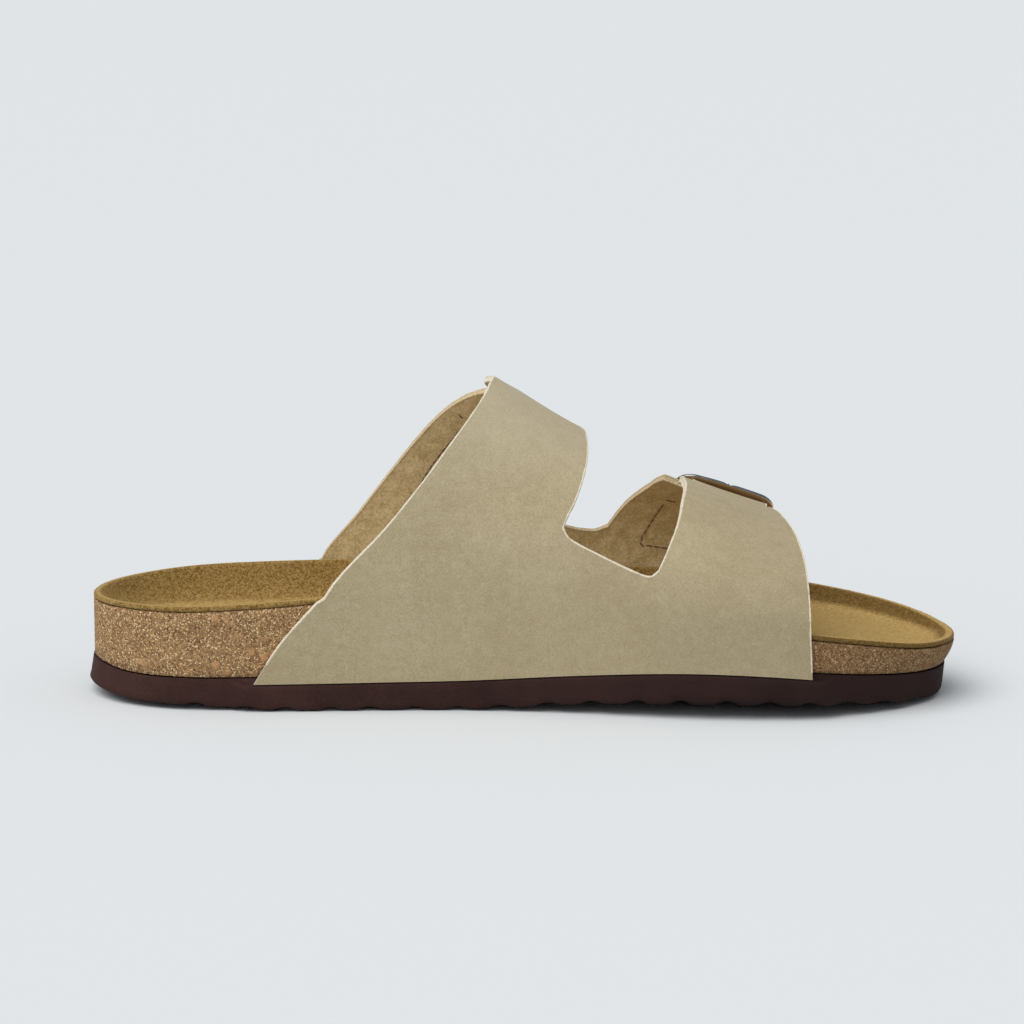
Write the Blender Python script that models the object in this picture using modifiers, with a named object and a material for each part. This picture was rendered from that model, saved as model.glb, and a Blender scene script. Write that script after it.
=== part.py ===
"""A left cork footbed sandal with two buckled straps, size EU 39.

Stations run along the foot from the back of the heel (0) to the tip of the toe. The inner
(medial) side is at -Y, the outer (lateral) side at +Y and the floor at z = 0. All sizes are
in metres. The upper is cut as two leather pieces, one for each side of the foot. The inner
one carries both straps, which cross the foot and fasten in buckles held by the outer one.
"""
import math
from collections import namedtuple

import bmesh
import bpy
from mathutils import Matrix, Vector

NAME = "cork_footbed_sandal"
ORIGIN = Vector((0.1302, 0.0015, 0.0))    # middle of the shoe's box on the floor
MEDIAL = -1
LATERAL = 1

# Driving dimensions
LENGTH = 0.262            # cork footbed, heel to toe
GAP = 0.0003              # between pieces that touch
WALL = 0.0020             # strap leather with its lining
SUEDE = 0.0014            # footbed lining
LAP = 0.0015              # how far the upper's lower edge reaches past the cork joint
UPPER_FROM = 0.050        # stations between which the upper's edge lies on the outsole
UPPER_TO = 0.215
HEEL_ROUND = 0.042        # length over which the heel rounds in
HEEL_POWER = 2.1
TOE_START = {MEDIAL: 0.215, LATERAL: 0.195}
TOE_POWER = {MEDIAL: 2.05, LATERAL: 1.80}
TOE_Y = -0.008            # the toe's tip lies towards the big toe
CREST_Y = -0.004          # top line of the straps, towards the big toe
ARCH_POWER = 2.15         # squareness of the straps' section

Section = namedtuple("Section", "station medial lateral sole lift floor rim_medial rim_lateral crest")
SECTIONS = (
    Section(0.000, 0.0330, 0.0335, 0.0078, 0.0035, 0.0228, 0.0306, 0.0304, 0.130),
    Section(0.012, 0.0330, 0.0335, 0.0078, 0.0020, 0.0214, 0.0309, 0.0309, 0.130),
    Section(0.030, 0.0330, 0.0335, 0.0082, 0.0014, 0.0206, 0.0312, 0.0319, 0.130),
    Section(0.060, 0.0330, 0.0347, 0.0096, 0.0003, 0.0208, 0.0330, 0.0328, 0.124),
    Section(0.090, 0.0321, 0.0370, 0.0099, 0.0003, 0.0222, 0.0360, 0.0328, 0.1115),
    Section(0.115, 0.0326, 0.0402, 0.0104, 0.0004, 0.0232, 0.0370, 0.0318, 0.0985),
    Section(0.145, 0.0370, 0.0448, 0.0103, 0.0027, 0.0217, 0.0345, 0.0300, 0.0797),
    Section(0.175, 0.0446, 0.0478, 0.0101, 0.0051, 0.0196, 0.0305, 0.0277, 0.0652),
    Section(0.200, 0.0474, 0.0480, 0.0096, 0.0053, 0.0186, 0.0272, 0.0260, 0.0545),
    Section(0.230, 0.0458, 0.0470, 0.0088, 0.0034, 0.0176, 0.0231, 0.0233, 0.0455),
    Section(0.250, 0.0450, 0.0470, 0.0088, 0.0014, 0.0158, 0.0198, 0.0210, 0.0400),
    Section(0.262, 0.0450, 0.0470, 0.0084, 0.0010, 0.0150, 0.0188, 0.0188, 0.0380),
)


def curve(pairs, x):
    """Smooth curve through a few (x, value) pairs, held level past its ends."""
    if x <= pairs[0][0]:
        return pairs[0][1]
    if x >= pairs[-1][0]:
        return pairs[-1][1]
    i = max(k for k, pair in enumerate(pairs[:-1]) if pair[0] <= x)

    def slope(k):
        a, b = pairs[max(k - 1, 0)], pairs[min(k + 1, len(pairs) - 1)]
        return (b[1] - a[1]) / (b[0] - a[0])

    (x0, v0), (x1, v1) = pairs[i], pairs[i + 1]
    u = (x - x0) / (x1 - x0)
    bend = (x1 - x0) * ((u ** 3 - 2 * u * u + u) * slope(i) + (u ** 3 - u * u) * slope(i + 1))
    return v0 + (v1 - v0) * (3 * u * u - 2 * u ** 3) + bend


COLUMNS = {name: [(row.station, getattr(row, name)) for row in SECTIONS] for name in Section._fields}


def column(name, station):
    return curve(COLUMNS[name], station)


def rounded(u, power):
    return max(0.0, 1.0 - min(u, 1.0) ** power) ** (1.0 / power)


def footprint(station, side):
    """Plan edge of the cork: the table's breadths, rounded in at heel and toe."""
    across = side * column("medial" if side == MEDIAL else "lateral", station)
    start = TOE_START[side]
    if station < HEEL_ROUND:
        return across * rounded(1.0 - station / HEEL_ROUND, HEEL_POWER)
    if station > start:
        return TOE_Y + (across - TOE_Y) * rounded((station - start) / (LENGTH - start), TOE_POWER[side])
    return across


def rim_height(station, side):
    return column("rim_medial" if side == MEDIAL else "rim_lateral", station)


def section_point(station, h):
    """Inner face of the upper. h is 0 and 4 at the lower edges, 1 and 3 at the rims, 2 at the crest."""
    side = MEDIAL if h < 2 else LATERAL
    climb = h if h < 2 else 4 - h
    edge = footprint(station, side) + side * GAP
    rim = rim_height(station, side)
    if climb <= 1:
        low = column("sole", station) + column("lift", station) - LAP
        return Vector((station, edge, low + (rim - low) * climb))
    turn = (climb - 1) * math.pi / 2
    across = (edge - CREST_Y) * max(math.cos(turn), 0.0) ** (2 / ARCH_POWER)
    up = (column("crest", station) - rim) * math.sin(turn) ** (2 / ARCH_POWER)
    return Vector((station, CREST_Y + across, rim + up))


def section_normal(station, h):
    """Outward unit normal of the section surface."""
    step = 0.0005
    along = section_point(station + step, h) - section_point(station - step, h)
    around = section_point(station, h + 0.004) - section_point(station, h - 0.004)
    return along.cross(around).normalized()


def girth_point(station, girth):
    """Inner face of the upper at a girth distance past the crest, towards the outer side."""
    count = 48
    last = section_point(station, 2.0)
    walked = 0.0
    for k in range(1, 2 * count + 1):
        h = 2.0 + k / count
        point = section_point(station, h)
        step = (point - last).length
        if walked + step >= girth:
            h_here = h - (walked + step - girth) / step / count
            return section_point(station, h_here), section_normal(station, h_here)
        walked += step
        last = point
    return last, section_normal(station, 4.0)


Strap = namedtuple("Strap", "name centre outer_end bar tip holes")
# centre gives the middle line as (girth past the crest, station), outer_end the climb at which
# the outer piece stops under the strap, bar and tip the girths of the buckle's centre bar and
# of the strap's end, and holes those of the free holes
INSTEP = Strap("instep", ((0.0, 0.13515), (0.020, 0.1335), (0.037, 0.1265), (0.060, 0.1172), (0.082, 0.1078)),
               1.667, 0.0480, 0.0790, (0.0560, 0.0635, 0.0710))
FRONT = Strap("front", ((0.0, 0.1940), (0.031, 0.1949), (0.045, 0.1924), (0.060, 0.1894), (0.075, 0.1866)),
              1.633, 0.0445, 0.071, (0.0525, 0.0590, 0.0650))
STRAPS = (INSTEP, FRONT)

# Edges of the two leather pieces. Climb is 0 at the lower edge, 1 at the rim and 2 at the
# crest; every edge but the notch gives (climb, station), and the notch (station, climb)
Cut = namedtuple("Cut", "rear instep_front notch front_rear front_front")
INNER_CUT = Cut(
    rear=((0, 0.0502), (0.5, 0.0582), (0.95, 0.0688), (1.0, 0.0712), (1.13, 0.0880), (1.27, 0.0998),
          (1.42, 0.1083), (1.57, 0.1144), (1.75, 0.1188), (2.0, 0.1213)),
    instep_front=((1.27, 0.1431), (1.4, 0.1456), (1.53, 0.1478), (1.7, 0.1492), (2.0, 0.1490)),
    notch=((0.1431, 1.27), (0.1444, 1.235), (0.1532, 1.200), (0.1648, 1.165), (0.1682, 1.168),
           (0.1702, 1.205)),
    front_rear=((1.205, 0.1702), (1.3, 0.1719), (1.5, 0.1748), (1.7, 0.1768), (2.0, 0.1788)),
    front_front=((0, 0.2150), (1.0, 0.2143), (1.3, 0.2138), (1.5, 0.2132), (1.75, 0.2117), (2.0, 0.2092)))
OUTER_CUT = Cut(
    rear=((0, 0.0502), (0.5, 0.0582), (0.95, 0.0665), (1.0, 0.0683), (1.1, 0.0802), (1.27, 0.0945),
          (1.53, 0.1112), (1.667, 0.1195)),
    instep_front=((1.15, 0.1425), (1.3, 0.1415), (1.5, 0.1440), (1.667, 0.1478)),
    notch=((0.1425, 1.15), (0.1450, 1.133), (0.1545, 1.133), (0.1590, 1.165)),
    front_rear=((1.165, 0.1590), (1.3, 0.1641), (1.46, 0.1704), (1.56, 0.1732), (1.633, 0.1752)),
    front_front=((0, 0.2060), (1.0, 0.2065), (1.3, 0.2090), (1.633, 0.2095)))

STRAP_END_HALF = 0.0121   # half width of a strap's buckled end
STRAP_TAPER = 0.026       # girth over which a strap narrows to it
TIP_ROUND = 0.010
BITE = 0.0004             # depth to which the two pieces are fused where they cross
BAR_RADIUS = 0.0010
BAR_HEIGHT = WALL + 2 * GAP + BAR_RADIUS
OVER_BAR = 0.0013         # half length of the strap's level top over the bar
STRAP_LIFT = 0.0086       # distance from the bar over which a strap lifts off the outer piece
TAB = 0.0012
TAB_REACH = 0.0045        # how far the tab runs past the centre bar
TAB_HALF = 0.009
PRONG_RADIUS = 0.0008
PRONG_NOTCH = 0.0011      # depth of the prong's seat in the frame
HOLE_RADIUS = 0.0014
FRAME_HALF_X = 0.0162     # across the strap
FRAME_HALF_Y = 0.0137     # along the strap
FRAME_SIDE = 0.0031
FRAME_BAR = 0.0042
FRAME_THICK = 0.0017
FRAME_BASE = 0.0032       # its underside over the strap's inner face
OUTER_ROUND = 0.0060
INNER_ROUND = 0.0012
FRAME_DISH = 0.0004       # how far the frame's ends stand above its middle
FRAME_TILT = 0.0009       # and how much higher the end by the strap's tip stands
SEAT_START = -0.0080
SEAT_END = -FRAME_HALF_Y - 0.0010


def strap_frame(strap, girth):
    """Centre, across, along and outward directions on a strap, with the shears of a step across."""
    small = 0.0005
    station = curve(strap.centre, girth)
    centre, out = girth_point(station, girth)
    by_station = girth_point(station + small, girth)[0] - girth_point(station - small, girth)[0]
    by_station /= 2 * small
    by_station -= out * by_station.dot(out)
    if girth < small:
        across = by_station.normalized()
        return station, 1 / by_station.length, 0.0, centre, across, out.cross(across), out
    back = girth_point(curve(strap.centre, girth - small), girth - small)[0]
    ahead = girth_point(curve(strap.centre, girth + small), girth + small)[0]
    along = ahead - back
    along = (along - out * along.dot(out)).normalized()
    across = along.cross(out)
    by_girth = (girth_point(station, girth + small)[0] - centre) / small
    by_girth -= out * by_girth.dot(out)
    # across = shear_s * by_station + shear_g * by_girth, solved in the tangent plane
    g11, g12, g22 = by_station.dot(by_station), by_station.dot(by_girth), by_girth.dot(by_girth)
    r1, r2 = across.dot(by_station), across.dot(by_girth)
    det = g11 * g22 - g12 * g12
    return station, (r1 * g22 - r2 * g12) / det, (r2 * g11 - r1 * g12) / det, centre, across, along, out


def eased(pairs, x):
    """Steps through (x, value) pairs, level at each of them."""
    if x <= pairs[0][0]:
        return pairs[0][1]
    for (x0, v0), (x1, v1) in zip(pairs, pairs[1:]):
        if x <= x1:
            u = (x - x0) / (x1 - x0)
            return v0 + (v1 - v0) * u * u * (3 - 2 * u)
    return pairs[-1][1]


def girth_to(station, h):
    """Girth from the crest to h on the outer side."""
    points = [section_point(station, 2 + (h - 2) * k / 40) for k in range(41)]
    return sum((b - a).length for a, b in zip(points, points[1:]))


def strap_rise(strap):
    """(girth, height) of the strap's inner face over the outer piece, the bar and the tab."""
    end = girth_to(curve(strap.centre, 0.024), 4 - strap.outer_end)
    over_bar = BAR_HEIGHT + BAR_RADIUS + 1.3 * GAP
    over_tab = WALL + TAB + 2.3 * GAP
    return ((0.0, 0.0), (end - 0.007, 0.0), (end - 0.001, WALL - BITE), (strap.bar - STRAP_LIFT, WALL - BITE),
            (strap.bar - OVER_BAR, over_bar), (strap.bar + OVER_BAR, over_bar),
            (strap.bar + TAB_REACH, over_tab), (strap.bar + STRAP_LIFT, WALL + GAP), (strap.tip, WALL + GAP))


class Surface:
    """Open sheet of quads on the section surface, welded where its panels meet."""

    def __init__(self):
        self.mesh = bmesh.new()

    def panel(self, rows, flip=False):
        grid = [[self.mesh.verts.new(point) for point in row] for row in rows]
        for low, high in zip(grid, grid[1:]):
            for a, b, c, d in zip(low, low[1:], high[1:], high):
                self.mesh.faces.new((d, c, b, a) if flip else (a, b, c, d))

    def finish(self, name):
        bmesh.ops.remove_doubles(self.mesh, verts=self.mesh.verts, dist=0.00010)
        return add_object(name, self.mesh)


def spread(start, end, count):
    return [start + (end - start) * k / count for k in range(count + 1)]


def leather_rows(cut, side, crest_levels):
    """Point rows of one leather piece: its base, and its two strap parts up to their levels."""
    def point(station, climb):
        return section_point(station, climb if side == MEDIAL else 4 - climb)

    left, right = cut.notch[0], cut.notch[-1]
    top = [(curve(cut.rear, left[1]) * (1 - u) + left[0] * u, left[1]) for u in spread(0, 1, 8)]
    top += [(station, curve(cut.notch, station)) for station in spread(left[0], right[0], 5)[1:]]
    top += [(right[0] * (1 - u) + curve(cut.front_front, right[1]) * u, right[1])
            for u in spread(0, 1, 7)[1:]]
    base = []
    for level in (0.0, 0.5, 1.0, 1.33, 1.67, 2.0):
        row = []
        for k, (top_station, top_climb) in enumerate(top):
            climb = level if level <= 1 else 1 + (top_climb - 1) * (level - 1)
            rear, front = curve(cut.rear, climb), curve(cut.front_front, climb)
            top_rear, top_front = curve(cut.rear, top_climb), curve(cut.front_front, top_climb)
            share = (top_station - top_rear) / (top_front - top_rear)
            even = k / (len(top) - 1)
            mix = level / 2
            share = even * (1 - mix) + share * mix
            row.append(point(rear + (front - rear) * share, climb))
        base.append(row)
    parts = [base]
    for rear, front, first, end, columns in ((cut.rear, cut.instep_front, left[1], crest_levels[0], 8),
                                             (cut.front_rear, cut.front_front, right[1], crest_levels[1], 7)):
        parts.append([[point(station, climb)
                       for station in spread(curve(rear, climb), curve(front, climb), columns)]
                      for climb in spread(first, end, 7)])
    return parts


def strap_rows(strap, half, columns):
    """Rows of a strap's free end, from the crest over the buckle's bar to the rounded tip."""
    rise = strap_rise(strap)
    rows = []
    body_end = strap.tip - TIP_ROUND
    stops = spread(0, strap.bar - OVER_BAR, 11) + spread(strap.bar + OVER_BAR, body_end, 6)
    stops += [body_end + TIP_ROUND * u for u in (0.35, 0.65, 0.86, 0.97)]
    for girth in stops:
        width = half + (STRAP_END_HALF - half) * min(girth / STRAP_TAPER, 1.0)
        if girth > body_end:
            width *= math.sqrt(1 - ((girth - body_end) / TIP_ROUND) ** 2)
        station, by_station, by_girth = strap_frame(strap, girth)[:3]
        row = []
        for across in spread(-width, width, columns):
            centre, out = girth_point(station + by_station * across, max(girth + by_girth * across, 0.0))
            row.append(centre + out * eased(rise, girth))
        rows.append(row)
    return rows


def material(name, colour, roughness, metallic=0.0):
    finish = bpy.data.materials.new(name)
    finish.use_nodes = True
    shader = finish.node_tree.nodes["Principled BSDF"]
    shader.inputs["Base Color"].default_value = (*colour, 1.0)
    shader.inputs["Roughness"].default_value = roughness
    shader.inputs["Metallic"].default_value = metallic
    return finish


for old in list(bpy.data.objects):
    bpy.data.objects.remove(old, do_unlink=True)
pieces = bpy.data.collections.new(NAME)
cutters = bpy.data.collections.new("cutters")
bpy.context.scene.collection.children.link(pieces)
bpy.context.scene.collection.children.link(cutters)


def add_object(name, mesh, finish=None, cutter=False):
    data = bpy.data.meshes.new(name)
    mesh.to_mesh(data)
    mesh.free()
    return link(name, data, finish, cutter)


def link(name, data, finish=None, cutter=False):
    piece = bpy.data.objects.new(name, data)
    if finish:
        data.materials.append(finish)
    if cutter:
        piece.hide_render = True
        piece.display_type = "WIRE"
    (cutters if cutter else pieces).objects.link(piece)
    return piece


def make_cutter(piece):
    piece.hide_render = True
    piece.display_type = "WIRE"
    pieces.objects.unlink(piece)
    cutters.objects.link(piece)


def boolean(piece, other, operation):
    cut = piece.modifiers.new(other.name, "BOOLEAN")
    cut.object = other
    cut.operation = operation
    cut.solver = "EXACT"


def place(piece, strap):
    """Stands a buckle piece on its strap's frame: X across, Y along to the tip, Z outward."""
    station, by_station, by_girth, centre, across, along, out = strap_frame(strap, strap.bar)
    piece.matrix_world = Matrix((across, along, out)).transposed().to_4x4()
    piece.location = centre


def thicken(piece):
    wall = piece.modifiers.new("wall", "SOLIDIFY")
    wall.thickness = WALL
    wall.offset = 1.0
    wall.use_even_offset = True
    wall.use_rim = True


# Footprint loop

def arc_stations(start, tip, power, first, count):
    """Stations of a rounded end, closer together towards its tip."""
    angles = spread(math.asin(first ** (power / 2)), math.pi / 2, count)
    return [start + (tip - start) * math.sin(angle) ** (2 / power) for angle in angles]


SPINE_START = HEEL_ROUND
SPINE_END = 0.215
SPINE_COUNT = 15
heel = arc_stations(HEEL_ROUND, 0.0, HEEL_POWER, 0.0, 7)
toe = {side: arc_stations(start, LENGTH, TOE_POWER[side], (SPINE_END - start) / (LENGTH - start), 8)
       for side, start in TOE_START.items()}
middle = [SPINE_START] + spread(UPPER_FROM - 0.0015, SPINE_END, SPINE_COUNT)
LOOP = [(station, MEDIAL) for station in heel[::-1] + middle[1:] + toe[MEDIAL][1:]]
LOOP += [(station, LATERAL) for station in toe[LATERAL][-2::-1] + middle[-2::-1] + heel[1:-1]]


def plan_point(station, side):
    return Vector((station, footprint(station, side)))


def plan_normals():
    points = [plan_point(*spot) for spot in LOOP]
    normals = []
    for k in range(len(points)):
        run = (points[(k + 1) % len(points)] - points[k - 1]).normalized()
        normals.append(Vector((run.y, -run.x)))
    return points, normals


EDGE, OUTWARD = plan_normals()


def spine_point(station):
    station = min(max(station, SPINE_START), SPINE_END)
    return Vector((station, (footprint(station, MEDIAL) + footprint(station, LATERAL)) / 2))


def ring(share, grow, height):
    """Ring of points from the spine (share 0) to the footprint (share 1), moved out by grow."""
    points = []
    for (station, side), edge, normal in zip(LOOP, EDGE, OUTWARD):
        outer = edge + normal * grow(station)
        flat = spine_point(station).lerp(outer, share)
        points.append(Vector((flat.x, flat.y, height(station, side, share, flat.x))))
    return points


def loft(name, rings, turn, finish):
    """Closed body of rings; up to the ring number turn they widen, and after it they narrow."""
    mesh = bmesh.new()
    loops = [[mesh.verts.new(point) for point in points] for points in rings]
    count = len(LOOP)
    for k, (low, high) in enumerate(zip(loops, loops[1:])):
        for i in range(count):
            a, b, c, d = low[i], low[(i + 1) % count], high[(i + 1) % count], high[i]
            if k < turn:
                mesh.faces.new((a, b, c))
                mesh.faces.new((a, c, d))
            else:
                mesh.faces.new((a, b, d))
                mesh.faces.new((b, c, d))
    bmesh.ops.remove_doubles(mesh, verts=mesh.verts, dist=0.00002)
    bmesh.ops.recalc_face_normals(mesh, faces=mesh.faces)
    return add_object(name, mesh, finish)


# Sole: cork footbed, its suede lining and the outsole

FLANGE = WALL + 0.0006    # how far the outsole stands out to carry the upper's edge
CUP = ((0.0, 8.5), (0.180, 8.5), (0.235, 12.0))   # steepness of the footbed's raised edge
LIP = 0.95                # share at which the edge turns into its flat lip
ARCH = ((0.080, 0), (0.115, 1), (0.150, 0))
ARCH_FILL = 4.0           # how much gentler the cup rises at the inner arch
Bump = namedtuple("Bump", "station reach height")
TOE_BAR = Bump(0.208, 0.007, 0.0014)
BALL_PAD = Bump(0.148, 0.018, 0.0022)
BUMP_SHARE = 0.75
TOE_LEAN = 0.0030         # the cork's side leans in below the rim at the toe
FLAT = 0.52               # share of the sole's breadth that is flat on the floor
HEEL_FLARE = 0.0013
GROOVE = 0.0036
GROOVE_DEPTH = 0.0014
TOP_SHARES = (0, 0.40, 0.65, 0.78, 0.87, 0.95, 1)
SOLE_SHARES = (0, 0.52, 0.78, 1)


def under_upper(station):
    """1 where the upper's edge lies on the outsole, 0 at heel and toe."""
    return eased(((SPINE_START, 0), (UPPER_FROM - 0.0015, 1), (UPPER_TO + 0.002, 1), (UPPER_TO + 0.010, 0)),
                 station)


def lean(station):
    return -TOE_LEAN * eased(((0.215, 0), (0.255, 1)), station)


def rise(share):
    return (max(share - FLAT, 0) / (1 - FLAT)) ** 1.7


def joint_height(station, side, share, inner_station):
    return column("sole", inner_station) + column("lift", station) * rise(share)


def bottom_height(station, side, share, inner_station):
    return column("lift", station) * rise(share)


def footbed_height(station, side, share, inner_station):
    """Top of the footbed: a cup with a heel seat, an arch, a ball pad and a toe bar."""
    floor = column("floor", inner_station)
    rim = rim_height(station, side)
    arch = eased(ARCH, station) if side == MEDIAL else 0
    climb = min(share / LIP, 1) ** (curve(CUP, station) - ARCH_FILL * arch)
    bumps = sum(bump.height * math.exp(-((inner_station - bump.station) / bump.reach) ** 2)
                for bump in (TOE_BAR, BALL_PAD))
    return floor + (rim - floor) * climb + bumps * max(1 - (share / BUMP_SHARE) ** 2, 0)


def below(height, drop):
    return lambda *spot: height(*spot) - drop


def at_edge(amount):
    return lambda station: amount


def build_soles():
    cork_colour = material("cork", (0.30, 0.17, 0.08), 0.85)
    suede = material("suede", (0.36, 0.27, 0.12), 0.95)
    rubber = material("outsole_foam", (0.045, 0.022, 0.020), 0.7)
    flush = at_edge(0.0)
    lining = [ring(share, flush, below(footbed_height, SUEDE)) for share in TOP_SHARES]
    lining += [ring(share, flush, footbed_height) for share in TOP_SHARES[::-1]]
    loft("footbed_lining", lining, len(TOP_SHARES), suede)

    cork_top = below(footbed_height, SUEDE + GAP)
    cork = [ring(share, lean, below(joint_height, -GAP)) for share in SOLE_SHARES]
    cork += [ring(share, flush, cork_top) for share in TOP_SHARES[::-1]]
    loft("cork_footbed", cork, len(SOLE_SHARES), cork_colour)

    def brim(station):
        return lean(station) + GAP + (FLANGE - GAP) * under_upper(station)

    def brim_bottom(station):
        flare = eased(((0.0, HEEL_FLARE), (0.050, 0.0), (0.240, 0.0), (LENGTH, -0.0008)), station)
        return brim(station) + flare

    def ledge(station, side, share, inner_station):
        drop = (LAP + GAP) * under_upper(station)
        return joint_height(station, side, share, inner_station) - drop

    sole = [ring(share, brim_bottom, bottom_height) for share in (0, 0.52, 0.70, 0.86)]
    sole.append(ring(1, lambda s: brim_bottom(s) - 0.0013, bottom_height))
    sole.append(ring(1, brim_bottom, below(bottom_height, -0.0012)))
    sole.append(ring(1, lambda s: brim(s), below(ledge, 0.0007)))
    sole.append(ring(1, lambda s: brim(s) - 0.0006 * under_upper(s), ledge))
    sole.append(ring(1, lean, ledge))
    sole += [ring(share, lean, joint_height) for share in SOLE_SHARES[::-1]]
    return loft("outsole", sole, 7, rubber)


# Tread: chevron grooves across the outsole, whose ends notch its edge

GROOVES = (0.0325, 0.0480, 0.0595, 0.0730, 0.0845, 0.0977, 0.1109, 0.1235, 0.1375, 0.1505,
           0.1640, 0.1768, 0.1905, 0.2031, 0.2150, 0.2265, 0.2375, 0.2480)
CHEVRON = 0.006
CHEVRON_HALF = 0.025


def build_tread(outsole):
    mesh = bmesh.new()
    for station in GROOVES:
        profile = []
        for across in (-0.062, -0.049, -0.038, -CHEVRON_HALF, 0, CHEVRON_HALF, 0.038, 0.049, 0.062):
            along = station + CHEVRON * max(1 - abs(across) / CHEVRON_HALF, 0)
            side = MEDIAL if across < 0 else LATERAL
            middle_y = spine_point(along).y
            half = max(abs(footprint(min(along, LENGTH - 0.001), side) - middle_y), 0.004)
            top = bottom_height(along, side, min(abs(across - middle_y) / half, 1), along) + GROOVE_DEPTH
            profile.append([Vector((along + GROOVE / 2 * end, across, z)) for end, z in
                            ((-1, -0.004), (1, -0.004), (1, top), (-1, top))])
        loops = [[mesh.verts.new(point) for point in corner] for corner in profile]
        for low, high in zip(loops, loops[1:]):
            for k in range(4):
                mesh.faces.new((low[k], low[(k + 1) % 4], high[(k + 1) % 4], high[k]))
        mesh.faces.new(loops[0][::-1])
        mesh.faces.new(loops[-1])
    bmesh.ops.recalc_face_normals(mesh, faces=mesh.faces)
    cutter = add_object("tread_cutter", mesh, cutter=True)
    boolean(outsole, cutter, "DIFFERENCE")


# Upper

def build_upper():
    leather = material("nubuck", (0.42, 0.37, 0.26), 0.8)
    sheets = {}
    outer_levels = (INSTEP.outer_end, FRONT.outer_end)
    for name, cut, side, levels in (("upper", INNER_CUT, MEDIAL, (2.0, 2.0)),
                                    ("outer_leather", OUTER_CUT, LATERAL, outer_levels)):
        surface = Surface()
        for rows in leather_rows(cut, side, levels):
            surface.panel(rows, flip=side == LATERAL)
        sheets[name] = surface
    for strap, rear, front, columns in ((INSTEP, INNER_CUT.rear, INNER_CUT.instep_front, 8),
                                        (FRONT, INNER_CUT.front_rear, INNER_CUT.front_front, 7)):
        by_station = strap_frame(strap, 0.0)[1]
        half = (front[-1][1] - rear[-1][1]) / 2 / by_station
        sheets["upper"].panel(strap_rows(strap, half, columns))
    upper = sheets["upper"].finish("upper")
    outer = sheets["outer_leather"].finish("outer_leather")
    upper.data.materials.append(leather)
    thicken(upper)
    thicken(outer)
    make_cutter(outer)
    boolean(upper, outer, "UNION")
    return upper


# Buckles

def tube(name, points, radius, finish=None):
    """Round rod along points, as a closed mesh."""
    path = bpy.data.curves.new(name, "CURVE")
    path.dimensions = "3D"
    path.bevel_depth = radius
    path.bevel_resolution = 3
    path.use_fill_caps = True
    spline = path.splines.new("POLY")
    spline.points.add(len(points) - 1)
    for spot, point in zip(spline.points, points):
        spot.co = (*point, 1.0)
    rod = bpy.data.objects.new(name, path)
    pieces.objects.link(rod)
    data = bpy.data.meshes.new_from_object(rod.evaluated_get(bpy.context.evaluated_depsgraph_get()))
    bpy.data.objects.remove(rod, do_unlink=True)
    mesh = bmesh.new()
    mesh.from_mesh(data)
    bmesh.ops.remove_doubles(mesh, verts=mesh.verts, dist=0.00001)
    bmesh.ops.recalc_face_normals(mesh, faces=mesh.faces)
    return add_object(name, mesh, finish)


def rounded_rectangle(half_x, half_y, radius):
    points = []
    for turn in range(4):
        middle_x = (half_x - radius) * (1 if turn in (0, 3) else -1)
        middle_y = (half_y - radius) * (1 if turn in (0, 1) else -1)
        for angle in spread(turn * math.pi / 2, (turn + 1) * math.pi / 2, 4):
            reach = Vector((math.cos(angle), math.sin(angle), 0)) * radius
            points.append(Vector((middle_x, middle_y, 0)) + reach)
    return points


def frame_base(y):
    """Underside of a buckle's frame over the strap's inner face, dished towards its ends."""
    return FRAME_BASE + FRAME_DISH * (y / FRAME_HALF_Y) ** 2 + FRAME_TILT * max(y, 0) / FRAME_HALF_Y


def prong_path():
    """(y, z) points of the prong, from beside the centre bar up through the strap to the frame."""
    rest = frame_base(-FRAME_HALF_Y + FRAME_BAR / 2) + FRAME_THICK + GAP + PRONG_RADIUS - PRONG_NOTCH
    return ((-0.0023, BAR_HEIGHT - 0.0001), (-0.0036, BAR_HEIGHT + 0.0006), (-0.0062, rest - 0.0003),
            (-0.0085, rest), (-FRAME_HALF_Y + 0.0012, rest))


def build_frame(strap, finish):
    outer = rounded_rectangle(FRAME_HALF_X, FRAME_HALF_Y, OUTER_ROUND)
    inner = rounded_rectangle(FRAME_HALF_X - FRAME_SIDE, FRAME_HALF_Y - FRAME_BAR, INNER_ROUND)
    mesh = bmesh.new()
    corners = ((0, 0.3), (0, 0.7), (0.16, 1), (0.84, 1), (1, 0.7), (1, 0.3), (0.84, 0), (0.16, 0))
    loops = []
    for a, b in zip(outer, inner):
        loop = []
        for share, up in corners:
            point = a.lerp(b, share)
            loop.append(mesh.verts.new((point.x, point.y, frame_base(point.y) + FRAME_THICK * up)))
        loops.append(loop)
    for low, high in zip(loops, loops[1:] + loops[:1]):
        for k in range(len(corners)):
            mesh.faces.new((low[k], low[(k + 1) % 8], high[(k + 1) % 8], high[k]))
    bmesh.ops.recalc_face_normals(mesh, faces=mesh.faces)
    frame = add_object("buckle_frame_" + strap.name, mesh, finish)
    reach = FRAME_HALF_X - FRAME_SIDE / 2
    bar = tube("bar_" + strap.name, [(-reach, 0, BAR_HEIGHT), (reach, 0, BAR_HEIGHT)], BAR_RADIUS)
    make_cutter(bar)
    place(bar, strap)
    place(frame, strap)
    boolean(frame, bar, "UNION")
    rest = prong_path()[-1][1]
    seat_path = [(0, y, rest) for y in (SEAT_START, SEAT_END)]
    seat = tube("prong_seat_" + strap.name, seat_path, PRONG_RADIUS + GAP)
    make_cutter(seat)
    place(seat, strap)
    boolean(frame, seat, "DIFFERENCE")


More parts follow.
